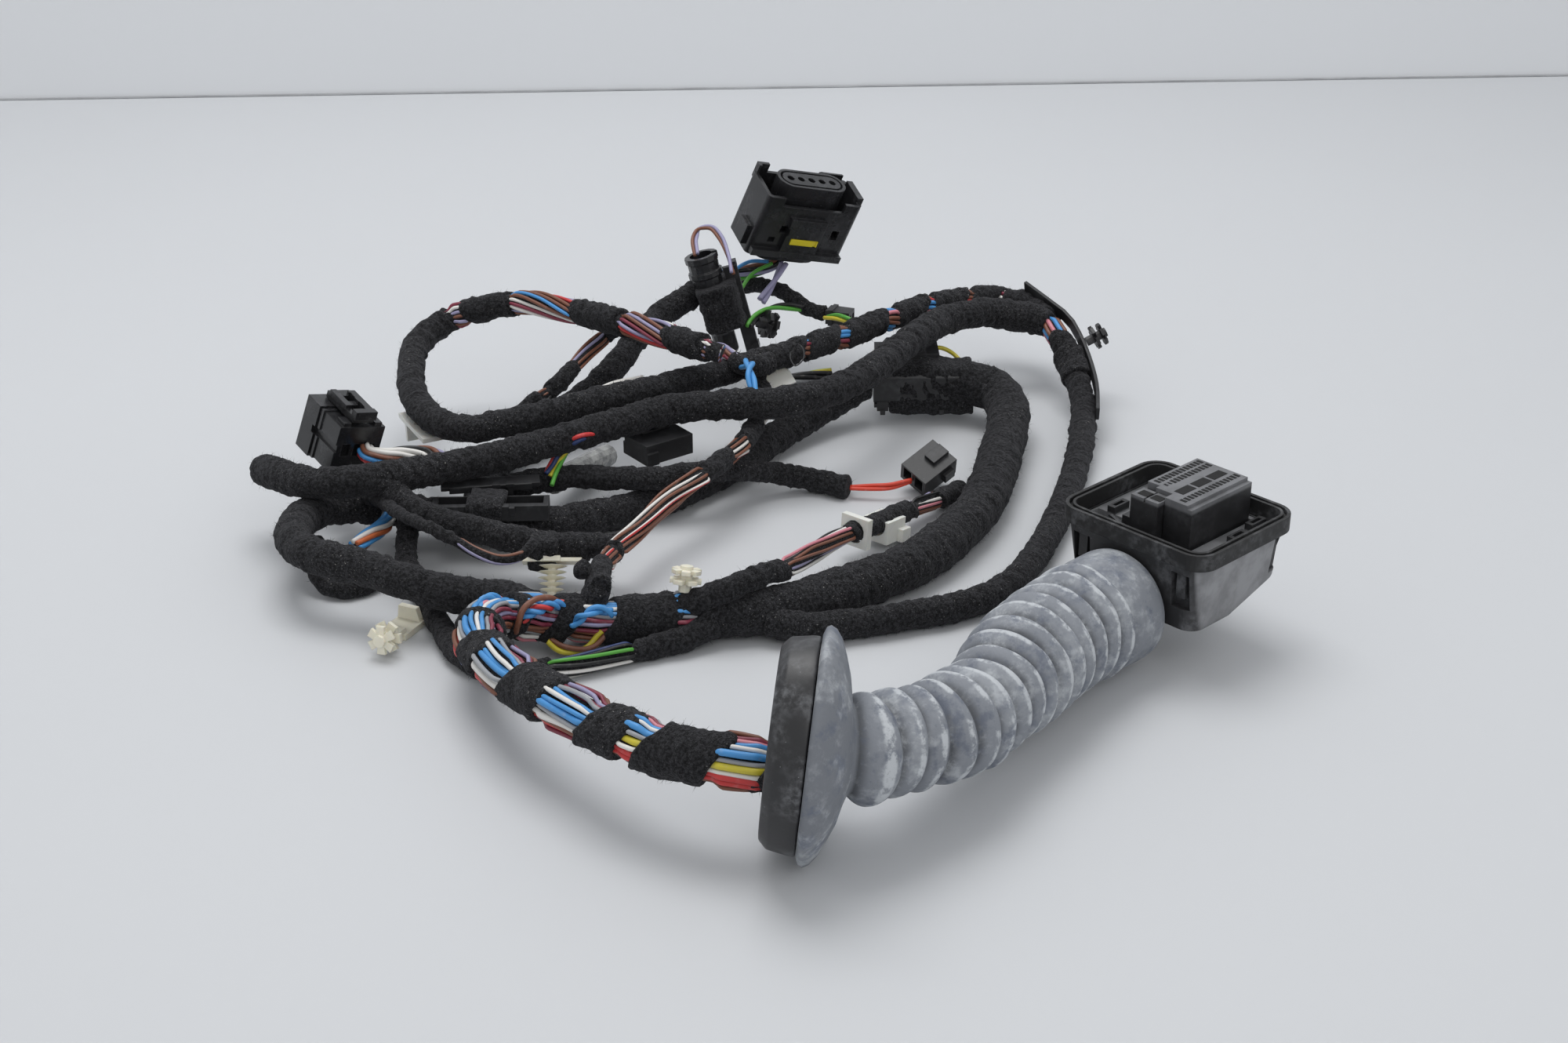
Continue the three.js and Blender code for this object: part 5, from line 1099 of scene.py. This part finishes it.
# Single wires that stray from their bundles: diameter, colours, pitch of their twist, points
LOOSE_WIRES = {
    "brown_loop": (0.0021, "brown", 1.0, ((-0.0735, -0.0722, 0.012), (-0.0723, -0.0732, 0.016),
        (-0.0705, -0.0713, 0.0205), (-0.0669, -0.0679, 0.0222), (-0.0627, -0.0649, 0.0212),
        (-0.0597, -0.062, 0.018), (-0.058, -0.06, 0.014))),
    "blue_curl": (0.0019, "blue blue rose", 0.014, ((-0.0844, -0.08, 0.016),
        (-0.0842, -0.0757, 0.0215), (-0.0836, -0.0715, 0.0232), (-0.0817, -0.0677, 0.0225),
        (-0.0798, -0.0638, 0.0195), (-0.0787, -0.0604, 0.015))),
    "blue_pair": (0.0019, "blue red blue", 0.011, ((-0.073, -0.069, 0.013),
        (-0.0695, -0.07, 0.0178), (-0.0659, -0.0691, 0.019), (-0.0625, -0.0663, 0.019),
        (-0.0598, -0.0633, 0.0178), (-0.0568, -0.0586, 0.014))),
    "blue_bend": (0.0019, "blue blue", 0.016, ((-0.0549, -0.0668, 0.012),
        (-0.0503, -0.069, 0.0172), (-0.0463, -0.0672, 0.018), (-0.042, -0.064, 0.015))),
    "brown_sag": (0.0019, "brown yellow", 0.03, ((-0.0633, -0.0682, 0.007),
        (-0.059, -0.069, 0.0042), (-0.0535, -0.0686, 0.0034), (-0.049, -0.0678, 0.0046),
        (-0.045, -0.065, 0.008))),
    "blue_knot": (0.0021, "blue blue", 0.024, ((-0.0004, 0.0905, 0.0405), (0.0012, 0.0845, 0.0445),
        (0.0027, 0.0777, 0.0462), (0.0028, 0.07, 0.0452), (0.0042, 0.0645, 0.0415),
        (0.0066, 0.061, 0.037))),
    "clip_wires": (0.0017, "red blue yellow navy", 0.05, ((-0.056, 0.044, 0.033),
        (-0.0605, 0.0401, 0.033), (-0.0642, 0.04, 0.03), (-0.068, 0.04, 0.0258),
        (-0.0702, 0.0385, 0.0225), (-0.0722, 0.034, 0.02))),
    "green_drop": (0.0017, "green", 1.0, ((-0.062, 0.046, 0.029), (-0.0654, 0.042, 0.026),
        (-0.0672, 0.039, 0.0235), (-0.069, 0.0345, 0.021), (-0.0702, 0.029, 0.0185))),
    "green_back": (0.0018, "green black", 0.04, ((0.001, 0.153, 0.033), (0.0031, 0.1576, 0.0345),
        (0.0073, 0.1641, 0.0355), (0.0122, 0.1696, 0.0352), (0.0175, 0.1732, 0.034),
        (0.0235, 0.175, 0.0325))),
    "yellow_stub": (0.0017, "green yellow", 0.05, (
        (0.033, 0.166, 0.032), (0.0371, 0.1613, 0.034),
        (0.0415, 0.1567, 0.0345), (0.048, 0.154, 0.033))),
    "loop_tail": (0.0017, "white violet brown maroon white red brown", 0.12,
        ((-0.0125, 0.1045, 0.0425), (-0.0085, 0.1012, 0.043), (-0.0045, 0.0962, 0.0422),
         (-0.001, 0.0935, 0.0408))),
    "blue_under": (0.0019, "blue brown blue", 0.03, ((-0.056, 0.093, 0.03),
        (-0.033, 0.102, 0.03), (-0.024, 0.105, 0.03))),
    "white_strap": (0.0026, "white", 1.0, ((0.04, 0.103, 0.0285), (0.0482, 0.1185, 0.032),
        (0.0575, 0.132, 0.0335))),
    "white_strap_left": (0.0022, "white", 1.0, ((-0.062, 0.084, 0.03),
        (-0.052, 0.0905, 0.033), (-0.04, 0.0975, 0.033))),
    "motor_green": (0.0016, "green", 1.0, ((0.0105, 0.188, 0.048), (0.002, 0.183, 0.045),
        (-0.003, 0.176, 0.04))),
    "motor_blue": (0.0016, "blue", 1.0, ((0.009, 0.19, 0.048), (0.001, 0.19, 0.048),
        (-0.006, 0.185, 0.045), (-0.007, 0.178, 0.04))),
    "motor_violet": (0.0022, "violet violet", 0.06, ((0.0155, 0.188, 0.048),
        (0.011, 0.18, 0.042), (0.006, 0.172, 0.037))),
    "ring_wire": (0.0006, "black", 1.0, ((0.018, 0.102, 0.0395), (0.0204, 0.1044, 0.044),
        (0.0228, 0.0978, 0.0452), (0.0228, 0.0889, 0.044), (0.02, 0.0866, 0.0425),
        (0.0179, 0.093, 0.0432), (0.0186, 0.1012, 0.0425), (0.02, 0.104, 0.039))),
    "grey_lead": (0.0032, "black", 1.0, ((0.076, 0.147, 0.022), (0.082, 0.147, 0.02),
        (0.088, 0.144, 0.0185), (0.092, 0.14, 0.017))),
    "grey_lead_yellow": (0.0018, "yellow", 1.0, ((0.076, 0.149, 0.024), (0.08, 0.1505, 0.0245),
        (0.085, 0.15, 0.0225), (0.09, 0.145, 0.019))),
}


class HARNESS_OT_joints(bpy.types.Operator):
    """Tape wound where a lead leaves its neighbour, and round the carriers"""
    bl_idname = "harness.joints"
    bl_label = "Tape joints"

    def execute(self, context):
        skin, fibres = Surface(), Surface()
        for k, (radii, points) in enumerate(TAPE_JOINTS):
            if isinstance(points[0], str):
                route, start, end = Route(CABLE_ROUTES[points[0]]), *points[1:]
            else:
                route = Route(points)
                start, end = 0.0, route.length
            sleeve = tape_sleeve(route, start, end, radii, 90 + k, (0.0, 0.0))
            skin.add(sleeve)
            fuzz(fibres, sleeve, 90 + k)
        for k, (start, end, wide, high, up, lean) in enumerate(TAPE_BANDS):
            route = Route((start, tuple((np.array(start) + end) / 2), end), up)

            def boxed(s, angle, wide=wide, high=high):
                return ((np.abs(np.cos(angle)) / wide) ** 4
                        + (np.abs(np.sin(angle)) / high) ** 4) ** -0.25

            skin.add(tape_sleeve(route, 0.0, route.length, boxed, 140 + k, (lean, lean), 1.2))
        skin.piece("tape_joints", finish("tape"))
        fibres.piece("tape_joint_fibres", finish("tape"))
        return {"FINISHED"}


# Tape round a carrier or plug: its two ends, half width, half height, up and lean of its edges
TAPE_BANDS = (
    ((0.0925, 0.1336, 0.0146), (0.0585, 0.1336, 0.0146), 0.0082, 0.0108, (0, 0, 1), 0.05),
    ((-0.0082, 0.1582, 0.0325), (-0.0128, 0.159, 0.0505), 0.0086, 0.012, (0, -1, 0), 0.05),
    ((-0.099, 0.0105, 0.0186), (-0.086, 0.0105, 0.018), 0.0082, 0.0052, (0, 0, 1), 0.1),
    ((-0.074, -0.015, 0.0135), (-0.064, -0.0152, 0.0132), 0.0056, 0.0062, (0, 0, 1), 0.05),
)


class HARNESS_OT_loose_wires(bpy.types.Operator):
    """Single wires, twisted pairs and curls that stray from the bundles"""
    bl_idname = "harness.loose_wires"
    bl_label = "Loose wires"

    def execute(self, context):
        skin = Surface()
        for size, names, pitch, points in LOOSE_WIRES.values():
            strands(skin, Route(points), names.split(), size, pitch)
        skin.piece("loose_wires", finish("wire"), attribute="wire")
        return {"FINISHED"}


# Boot and flange insert

BOOT_POINTS = (
    (0.0224, -0.1846, 0.0366), (0.0356, -0.1820, 0.0345), (0.0464, -0.1758, 0.0324),
    (0.0576, -0.1668, 0.0298), (0.0678, -0.1550, 0.0275), (0.0758, -0.1428, 0.0260),
    (0.0847, -0.1262, 0.0250), (0.0938, -0.1097, 0.0240), (0.1045, -0.0928, 0.0224),
    (0.1148, -0.0796, 0.0211), (0.1262, -0.0677, 0.0204),
)
FLANGE_AXIS = unit(np.array((0.992, -0.08, -0.098)))
# Dents in the rubber: size, seed and height of their noise
DENTS = ((0.012, 3, 0.0008), (0.03, 8, 0.0012))
# Where the pleats start along the boot, and how many rows of points each has
PLEATS_START = 0.0118
PLEAT_ROWS = 14
# The flange insert: half height of its rim, its inner edge and web, and the trunk's sleeve in it
RING_RIM = 0.033
RING_INNER = 0.030
RING_WEB = 0.019
HOLE_BORE = 0.00925
HOLE_OUTSIDE = 0.01125
HOLE_MIDDLE = (-0.1849, 0.0306)


class BootLine(Route):
    """The boot's middle line, whose direction turns into the flange's own over its first part."""

    def direction(self, s):
        along = super().direction(np.maximum(s, 0))
        share = (1 - smoothstep(s, 0.002, 0.020))[..., None]
        return unit(along * (1 - share) + FLANGE_AXIS * share)

    def middle(self, s):
        return super().middle(np.maximum(s, 0)) + np.minimum(s, 0)[..., None] * FLANGE_AXIS

    def oval(self, s, angle, radius):
        """Points round the line, with what lies beyond 14 mm drawn in sideways by a third near
        the flange: radius - 0.32 (radius - 14 mm) (1 - smoothstep(s, 8 mm, 22 mm))."""
        middle, side, lift = self.frame(s)
        drawn = np.maximum(radius - 0.014, 0) * 0.32 * (1 - smoothstep(s, 0.008, 0.022))
        narrow = (radius - drawn) / np.maximum(radius, 1e-9)
        across, upward = radius * np.cos(angle) * narrow, radius * np.sin(angle)
        return middle + across[..., None] * side + upward[..., None] * lift


def soften(rows, radius, steps=3):
    """Rounds the corners of a stack of rows: each inner row becomes a parabola from radius before
    the corner to radius after it, never more than half way to the next row."""
    rows = np.asarray(rows)
    before, at, after = rows[:-2], rows[1:-1], rows[2:]
    far_b = np.linalg.norm(before - at, axis=-1, keepdims=True)
    far_a = np.linalg.norm(after - at, axis=-1, keepdims=True)
    a = at + (before - at) * np.minimum(radius / np.maximum(far_b, 1e-9), 0.48)
    c = at + (after - at) * np.minimum(radius / np.maximum(far_a, 1e-9), 0.48)
    t = np.linspace(0, 1, steps + 1)[None, :, None, None]
    bent = (1 - t) ** 2 * a[:, None] + 2 * t * (1 - t) * at[:, None] + t ** 2 * c[:, None]
    return np.concatenate((rows[:1], bent.reshape(-1, *rows.shape[1:]), rows[-1:]))


def boot_outline(line):
    """Distance, radius and share of crest down the boot: lip, cone, neck, then pleats that stand
    depth x sin(pi u ** 1.25) ** 0.7 over their valleys, steeper towards the plug, then a collar.
    The share of crest sets the painted shade that darkens the rubber in the valleys, and the
    painted highlight along the crests."""
    look = settings("boot")
    rim = look.flange_height / 2
    neck = look.neck_diameter / 2
    start = PLEATS_START
    stop = start + look.pleat_count * look.pleat_pitch
    s_lip = np.array((
        0.0003, 0.0003, 0.0012, 0.0024, 0.0042, 0.0062, 0.0080, 0.0094, 0.0104, 0.0114))
    r_lip = np.array((rim - 0.006, rim - 0.003, rim - 0.0006, rim, rim - 0.0010, rim - 0.0038,
                      rim - 0.0085, rim - 0.0130, neck + 0.0020, neck - 0.0020))
    u = (np.arange(look.pleat_count * PLEAT_ROWS) + 0.5) / PLEAT_ROWS
    part = u - np.floor(u)
    share = np.floor(u) / max(look.pleat_count - 1, 1)
    crest = (0.0166 - 0.0008 * smoothstep(share, 0.0, 0.3)
             + 0.0042 * smoothstep(share, 0.35, 0.95) + 0.0004 * np.sin(5.1 * np.floor(u)))
    height = np.sin(np.pi * part ** 1.25) ** 0.7
    s_pleat = start + u * look.pleat_pitch
    r_pleat = crest - look.pleat_depth * (1 - height)
    s_end = np.array((stop, stop + 0.0012, stop + 0.0025, stop + 0.005, line.length - 0.003,
                      line.length - 0.0008, line.length))
    r_end = np.array((0.0175, 0.0184, 0.0192, 0.0196, 0.0197, 0.0194, 0.0188))
    s = np.concatenate((s_lip, s_pleat, s_end))
    r = np.concatenate((r_lip, r_pleat, r_end))
    # the lip and the collar take fixed crest shares, 0.45 and 0.6, which set their painted shade
    high = np.concatenate((np.full(len(s_lip), 0.45), height, np.full(len(s_end), 0.6)))
    return s, r, high


class HARNESS_OT_boot(bpy.types.Operator):
    """Pleated rubber boot with its oval flange lip and smooth collar"""
    bl_idname = "harness.boot"
    bl_label = "Pleated boot"

    def execute(self, context):
        line = BootLine(BOOT_POINTS)
        s, r, high = boot_outline(line)
        sides = 120
        angle = np.arange(sides)[None, :] * TURN / sides + np.zeros((len(s), 1))
        along = s[:, None] + 0 * angle
        pleated = smoothstep(along, 0.011, 0.018) * (1 - smoothstep(along, 0.143, 0.149))
        pleat = np.floor((along - PLEATS_START) / settings("boot").pleat_pitch)
        lean = np.sin(pleat * 2.4) * 0.0011 * np.cos(angle - pleat * 1.7) * pleated
        shape = line.oval(along, angle, np.broadcast_to(r[:, None], angle.shape))
        dent = sum(noise(shape, size, seed) * height for size, seed, height in DENTS)
        outside = line.oval(along + lean, angle, r[:, None] + dent * (0.25 + 0.75 * pleated))
        bore_s = np.array((
            line.length, line.length - 0.0015, 0.143, 0.1, 0.06, 0.03, 0.009, 0.0003))
        bore_r = np.array((0.0178, 0.015, 0.0142, 0.0126, 0.0112, 0.0110, 0.0112, 0.0140))
        inner_angle = angle[:1] + np.zeros((len(bore_s), 1))
        inside = line.oval(bore_s[:, None] + 0 * inner_angle, inner_angle,
                           bore_r[:, None] + 0 * inner_angle)
        grid = np.concatenate((outside, inside, outside[:1]))
        # painted shade: the inside of the bore takes a crest share of 0.1, the darkest rubber
        shade = np.concatenate((high, np.full(len(bore_s), 0.1), high[:1]))
        skin = Surface()
        skin.add(grid, ends=False, colour=np.repeat(np.repeat(
            shade[:, None, None], sides, 1), 3, 2))
        # the pleat attribute carries the crest share that paints shade into the valleys and a
        # highlight along the crests
        piece = skin.piece("boot_bellows_rubber", finish("boot"), attribute="pleat")
        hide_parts("boot_bellows")
        dress("tape", "boot_wires")
        return {"FINISHED"}


class HARNESS_OT_flange_insert(bpy.types.Operator):
    """Stiff ring inside the flange, with the sleeve that the trunk runs through"""
    bl_idname = "harness.flange_insert"
    bl_label = "Flange insert"

    def execute(self, context):
        line = BootLine(BOOT_POINTS)
        sides = 96
        angle = np.arange(sides) * TURN / sides

        def ring(radius, s):
            return line.oval(np.full(sides, s), angle, np.full(sides, radius))

        def sleeve(radius, x):
            middle = np.array((x, *HOLE_MIDDLE)) + SHIFT
            return middle + np.stack((
                0 * angle, radius * np.cos(angle), radius * np.sin(angle)), -1)

        rim, inner = RING_RIM, RING_INNER - 0.0012
        rows = [
            sleeve(HOLE_BORE, 0.0203), sleeve(HOLE_BORE, 0.0114), sleeve(HOLE_OUTSIDE, 0.0114),
            sleeve(HOLE_OUTSIDE, 0.0172), ring(RING_WEB, -0.0035), ring(inner, -0.0035),
            ring(inner, -0.0085), ring(RING_INNER - 0.0034, -0.011), ring(rim - 0.004, -0.011),
            ring(rim - 0.0012, -0.0085), ring(rim, -0.002), ring(rim, 0.0),
            ring(inner, 0.0), ring(inner, -0.001), ring(RING_WEB, -0.001),
            sleeve(HOLE_OUTSIDE, 0.0203), sleeve(HOLE_BORE, 0.0203),
        ]
        grid = soften(rows, 0.0007)
        piece = Surface().add(grid, ends=False).piece("boot_flange_insert_ring", finish("insert"))
        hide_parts("boot_flange_insert")
        return {"FINISHED"}


# Plugs and clips

# The many-way plug: its turn in degrees and its middle, then, in its own frame, the pin blocks'
# mouths: rows of slots (across, first slot, count), windows and gates
PLUG_TURN = 43.6
PLUG_MIDDLE = (0.14669, -0.05063, 0)
SLOT_ROWS = ((0.0054, 0, 13), (0.0018, 2, 11), (-0.0098, -3, 16))
SLOT_START = -0.00495
SLOT_PITCH = 0.0019
LARGE_BLOCK_TOP = 0.0571
SMALL_BLOCK_TOP = 0.0556
WINDOW_PLACES = (-0.0035, 0.0049, 0.0133)
GATE_PLACES = (-0.0012, 0.0042)
MOUTH_DEPTH = 0.0004


class HARNESS_OT_door_plug(bpy.types.Operator):
    """Many-way door plug: housing, seal, tray with its clips, and slotted pin blocks"""
    bl_idname = "harness.door_plug"
    bl_label = "Many-way plug"

    def execute(self, context):
        dress("box", "plug_housing")
        dress("pins", "pin_block_large", "pin_block_small")
        dress("gloss", "plug_lever")
        dress("seal", "plug_rim_seal")
        dress("tray", "plug_inner_frame")
        # painted shade: near-black patches on the pin blocks' faces where the contact chambers open,
        # standing in for the shade inside them
        turn = math.radians(PLUG_TURN)
        along = np.array((math.cos(turn), math.sin(turn), 0))
        across = np.array((-math.sin(turn), math.cos(turn), 0))
        middle = np.array(PLUG_MIDDLE) + SHIFT
        mouths = []
        for y, first, count in SLOT_ROWS:
            mouths += [(SLOT_START + SLOT_PITCH * (first + k), y, LARGE_BLOCK_TOP, 0.00062, 0.00125)
                       for k in range(count)]
        mouths += [(x, -0.005, LARGE_BLOCK_TOP, 0.0036, 0.0019) for x in WINDOW_PLACES]
        mouths += [(-0.01265, y, SMALL_BLOCK_TOP, 0.0018, 0.002) for y in GATE_PLACES]
        skin = Surface()
        for x, y, z, wide, long in mouths:
            corner = [middle + along * (x + a * wide) + across * (y + b * long)
                      for a, b in ((-1, -1), (1, -1), (1, 1), (-1, 1))]
            skin.add(np.array([[c + (0, 0, z - MOUTH_DEPTH) for c in corner],
                               [c + (0, 0, z) for c in corner]]))
        skin.piece("pin_slots", finish("void"), smooth=False)
        return {"FINISHED"}


class Dressing:
    """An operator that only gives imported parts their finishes: a finish's name, then its nodes"""
    finishes = ()

    def execute(self, context):
        for name, *nodes in self.finishes:
            dress(name, *nodes)
        return {"FINISHED"}


class HARNESS_OT_motor_plug(Dressing, bpy.types.Operator):
    """Motor connector: shell, contact carrier, yellow lock and the seal its wires enter"""
    bl_idname = "harness.motor_plug"
    bl_label = "Motor connector"
    finishes = (("gloss", "motor_plug_shell", "motor_plug_core"), ("yellow", "motor_plug_lock"),
                ("seal", "motor_plug_boot"))


class HARNESS_OT_switch_plug(Dressing, bpy.types.Operator):
    """Connector at the left end with its slider and cap"""
    bl_idname = "harness.switch_plug"
    bl_label = "Left connector"
    finishes = (("gloss", "switch_plug_housing", "switch_plug_slider", "switch_plug_cap"),)


class HARNESS_OT_lamp_holder(Dressing, bpy.types.Operator):
    """Round holder at the back with its bracket and rosette"""
    bl_idname = "harness.lamp_holder"
    bl_label = "Round holder"
    finishes = (("gloss", "lamp_holder_body"), ("black", "lamp_holder_bracket", "back_rosette"))


class HARNESS_OT_small_plugs(Dressing, bpy.types.Operator):
    """Two-way, flat and rear connectors"""
    bl_idname = "harness.small_plugs"
    bl_label = "Small connectors"
    finishes = (("black", "two_way_plug", "flat_plug", "rear_plug_black"),
                ("box", "rear_plug_grey"))


class HARNESS_OT_clips(Dressing, bpy.types.Operator):
    """Channels, clips, rosettes, straps, tags and sleeve"""
    bl_idname = "harness.clips"
    bl_label = "Clips and tags"
    finishes = (
        ("black", "rear_channel", "channel_clip_lower", "channel_clip_upper", "right_clip_strip",
         "strip_rosette"),
        ("cream", "cream_clip_plate", "cream_clip_rosette", "middle_rosette", "fir_tree_clip",
         "fir_tree_strap"),
        ("white", "white_clip_frame", "white_clip_cradle"),
        ("film", "grey_sleeve"),
        ("white", "left_tag", "flag_tag"),
    )


# Stage: half the width of its sheets, how far they run to the front, the backdrop's height and
# slant, and where the lamps and the camera stand
STAGE_HALF = 2.4
FLOOR_FRONT = -2.0
WALL_HEIGHT = 1.6
WALL_SLANT = 0.057
KEY_PLACE = (-0.12, 0.3, 1.25)
FILL_PLACE = (0.5, -1.1, 0.9)
CAMERA_PLACE = (0.01388, -0.755, 0.38703)
CAMERA_TILT = 64
SENSOR_WIDTH = 36

def area_light(name, place, target, size, power):
    """A square lamp at a place that faces a target."""
    lamp = bpy.data.lights.new(name, "AREA")
    lamp.energy, lamp.size = power, size
    thing = bpy.data.objects.new(name, lamp)
    thing.location = place
    away = np.asarray(place, float) - np.asarray(target, float)
    flat = math.hypot(away[0], away[1])
    facing = math.atan2(away[1], away[0]) + math.pi / 2
    thing.rotation_euler = (math.atan2(flat, away[2]), 0, facing)
    bpy.context.scene.collection.objects.link(thing)


class HARNESS_OT_stage(bpy.types.Operator):
    """Pale floor and backdrop, soft light and the camera"""
    bl_idname = "harness.stage"
    bl_label = "Floor, light and camera"

    def execute(self, context):
        look = settings("stage")
        scene = context.scene
        far = look.wall_distance
        ground = Finish("Floor", look.floor_colour, 0.55, specular_ior_level=0.3)
        tint = ground.grain(0.4, 2.0)
        ground.link("Base Color", ground.mixed(
            tint, shaded(look.floor_colour, 0.955), look.floor_colour))
        paint = Finish("Backdrop", look.wall_colour, 0.7, specular_ior_level=0.2)
        paint.link("Base Color", paint.mixed(
            paint.grain(0.3, 2.0), shaded(look.wall_colour, 0.97), look.wall_colour))
        # seen from behind, the backdrop lets the view through
        behind = paint.node("ShaderNodeNewGeometry").outputs["Backfacing"]
        clear = paint.node("ShaderNodeBsdfTransparent").outputs["BSDF"]
        joined = paint.node("ShaderNodeMixShader", {
            0: behind, 1: paint.shader.outputs["BSDF"], 2: clear}).outputs["Shader"]
        paint.node("ShaderNodeOutputMaterial", {"Surface": joined}, is_active_output=True)
        # painted shade: a thin grey strip laid in the join of floor and backdrop stands in for the
        # shade there
        seam = Finish("Seam", tone(150, 152, 155), 0.8)
        seam.link("Base Color", seam.mixed(
            seam.grain(0.02, 3.0), tone(120, 122, 125), tone(178, 180, 182)))

        def sheet(name, low, high, tilted, material):
            """A rectangle from a low to a high (back, up) edge, whose far edge, and where it is
            tilted its near edge too, follows the slant of the backdrop."""
            across = np.array((-STAGE_HALF, STAGE_HALF))
            back = far + WALL_SLANT * across
            near = back if tilted else np.zeros(2)
            points = [(across[0], low[0] + near[0], low[1]), (across[1], low[0] + near[1], low[1]),
                      (across[1], high[0] + back[1], high[1]),
                      (across[0], high[0] + back[0], high[1])]
            mesh = bpy.data.meshes.new(name)
            mesh.from_pydata(points, [], [(0, 1, 2, 3)])
            mesh.materials.append(material)
            thing = bpy.data.objects.new(name, mesh)
            scene.collection.objects.link(thing)

        sheet("floor", (FLOOR_FRONT, 0.0), (0.0, 0.0), False, ground.material)
        sheet("backdrop", (0.0, 0.0), (0.0, WALL_HEIGHT), True, paint.material)
        # the strip of painted shade in the join of floor and backdrop
        sheet("seam", (-0.002, 0.0004), (-0.0006, 0.0009), True, seam.material)

        world = bpy.data.worlds.new("Even light")
        scene.world = world
        world.use_nodes = True
        back = world.node_tree.nodes["Background"]
        back.inputs["Color"].default_value = (0.98, 0.99, 1.0, 1)
        back.inputs["Strength"].default_value = look.sky_strength
        area_light("Key light", KEY_PLACE, (0, 0, 0), 0.8, look.key_power)
        area_light("Fill light", FILL_PLACE, (0, 0, 0.05), 0.9, look.fill_power)

        lens = bpy.data.cameras.new("Camera")
        lens.lens, lens.sensor_width = look.lens, SENSOR_WIDTH
        lens.clip_start, lens.clip_end = 0.01, 20
        camera = bpy.data.objects.new("Camera", lens)
        camera.location = CAMERA_PLACE
        camera.rotation_euler = (math.radians(CAMERA_TILT), 0, 0)
        scene.collection.objects.link(camera)
        scene.camera = camera
        scene.view_settings.view_transform = "Standard"
        return {"FINISHED"}


class HARNESS_PT_panel(bpy.types.Panel):
    """Buttons for the harness's pieces and its settings"""
    bl_idname = "HARNESS_PT_panel"
    bl_label = "Door wiring harness"
    bl_space_type = "VIEW_3D"
    bl_region_type = "UI"
    bl_category = "Harness"

    def draw(self, context):
        for group in GROUPS:
            box = self.layout.box()
            holder = getattr(context.scene, "harness_" + group)
            for name in holder.bl_rna.properties.keys():
                if name not in ("rna_type", "name"):
                    box.prop(holder, name)
        for operator in OPERATORS:
            self.layout.operator(operator.bl_idname)


GROUPS = {
    "cables": HarnessCableSettings, "boot": HarnessBootSettings,
    "plastic": HarnessPlasticSettings, "stage": HarnessStageSettings,
}
OPERATORS = (
    HARNESS_OT_stage, HARNESS_OT_cables, HARNESS_OT_joints, HARNESS_OT_loose_wires,
    HARNESS_OT_boot, HARNESS_OT_flange_insert,
    HARNESS_OT_door_plug, HARNESS_OT_motor_plug, HARNESS_OT_switch_plug, HARNESS_OT_lamp_holder,
    HARNESS_OT_small_plugs, HARNESS_OT_clips,
)


def register():
    for cls in (*GROUPS.values(), *OPERATORS, HARNESS_PT_panel):
        bpy.utils.register_class(cls)
    for group, cls in GROUPS.items():
        setattr(bpy.types.Scene, "harness_" + group, bpy.props.PointerProperty(type=cls))


def unregister():
    for group in GROUPS:
        delattr(bpy.types.Scene, "harness_" + group)
    for cls in (HARNESS_PT_panel, *reversed(OPERATORS), *reversed(tuple(GROUPS.values()))):
        bpy.utils.unregister_class(cls)


def main():
    register()
    for operator in OPERATORS:
        getattr(bpy.ops.harness, operator.bl_idname.split(".")[1])()


if __name__ == "__main__":
    main()
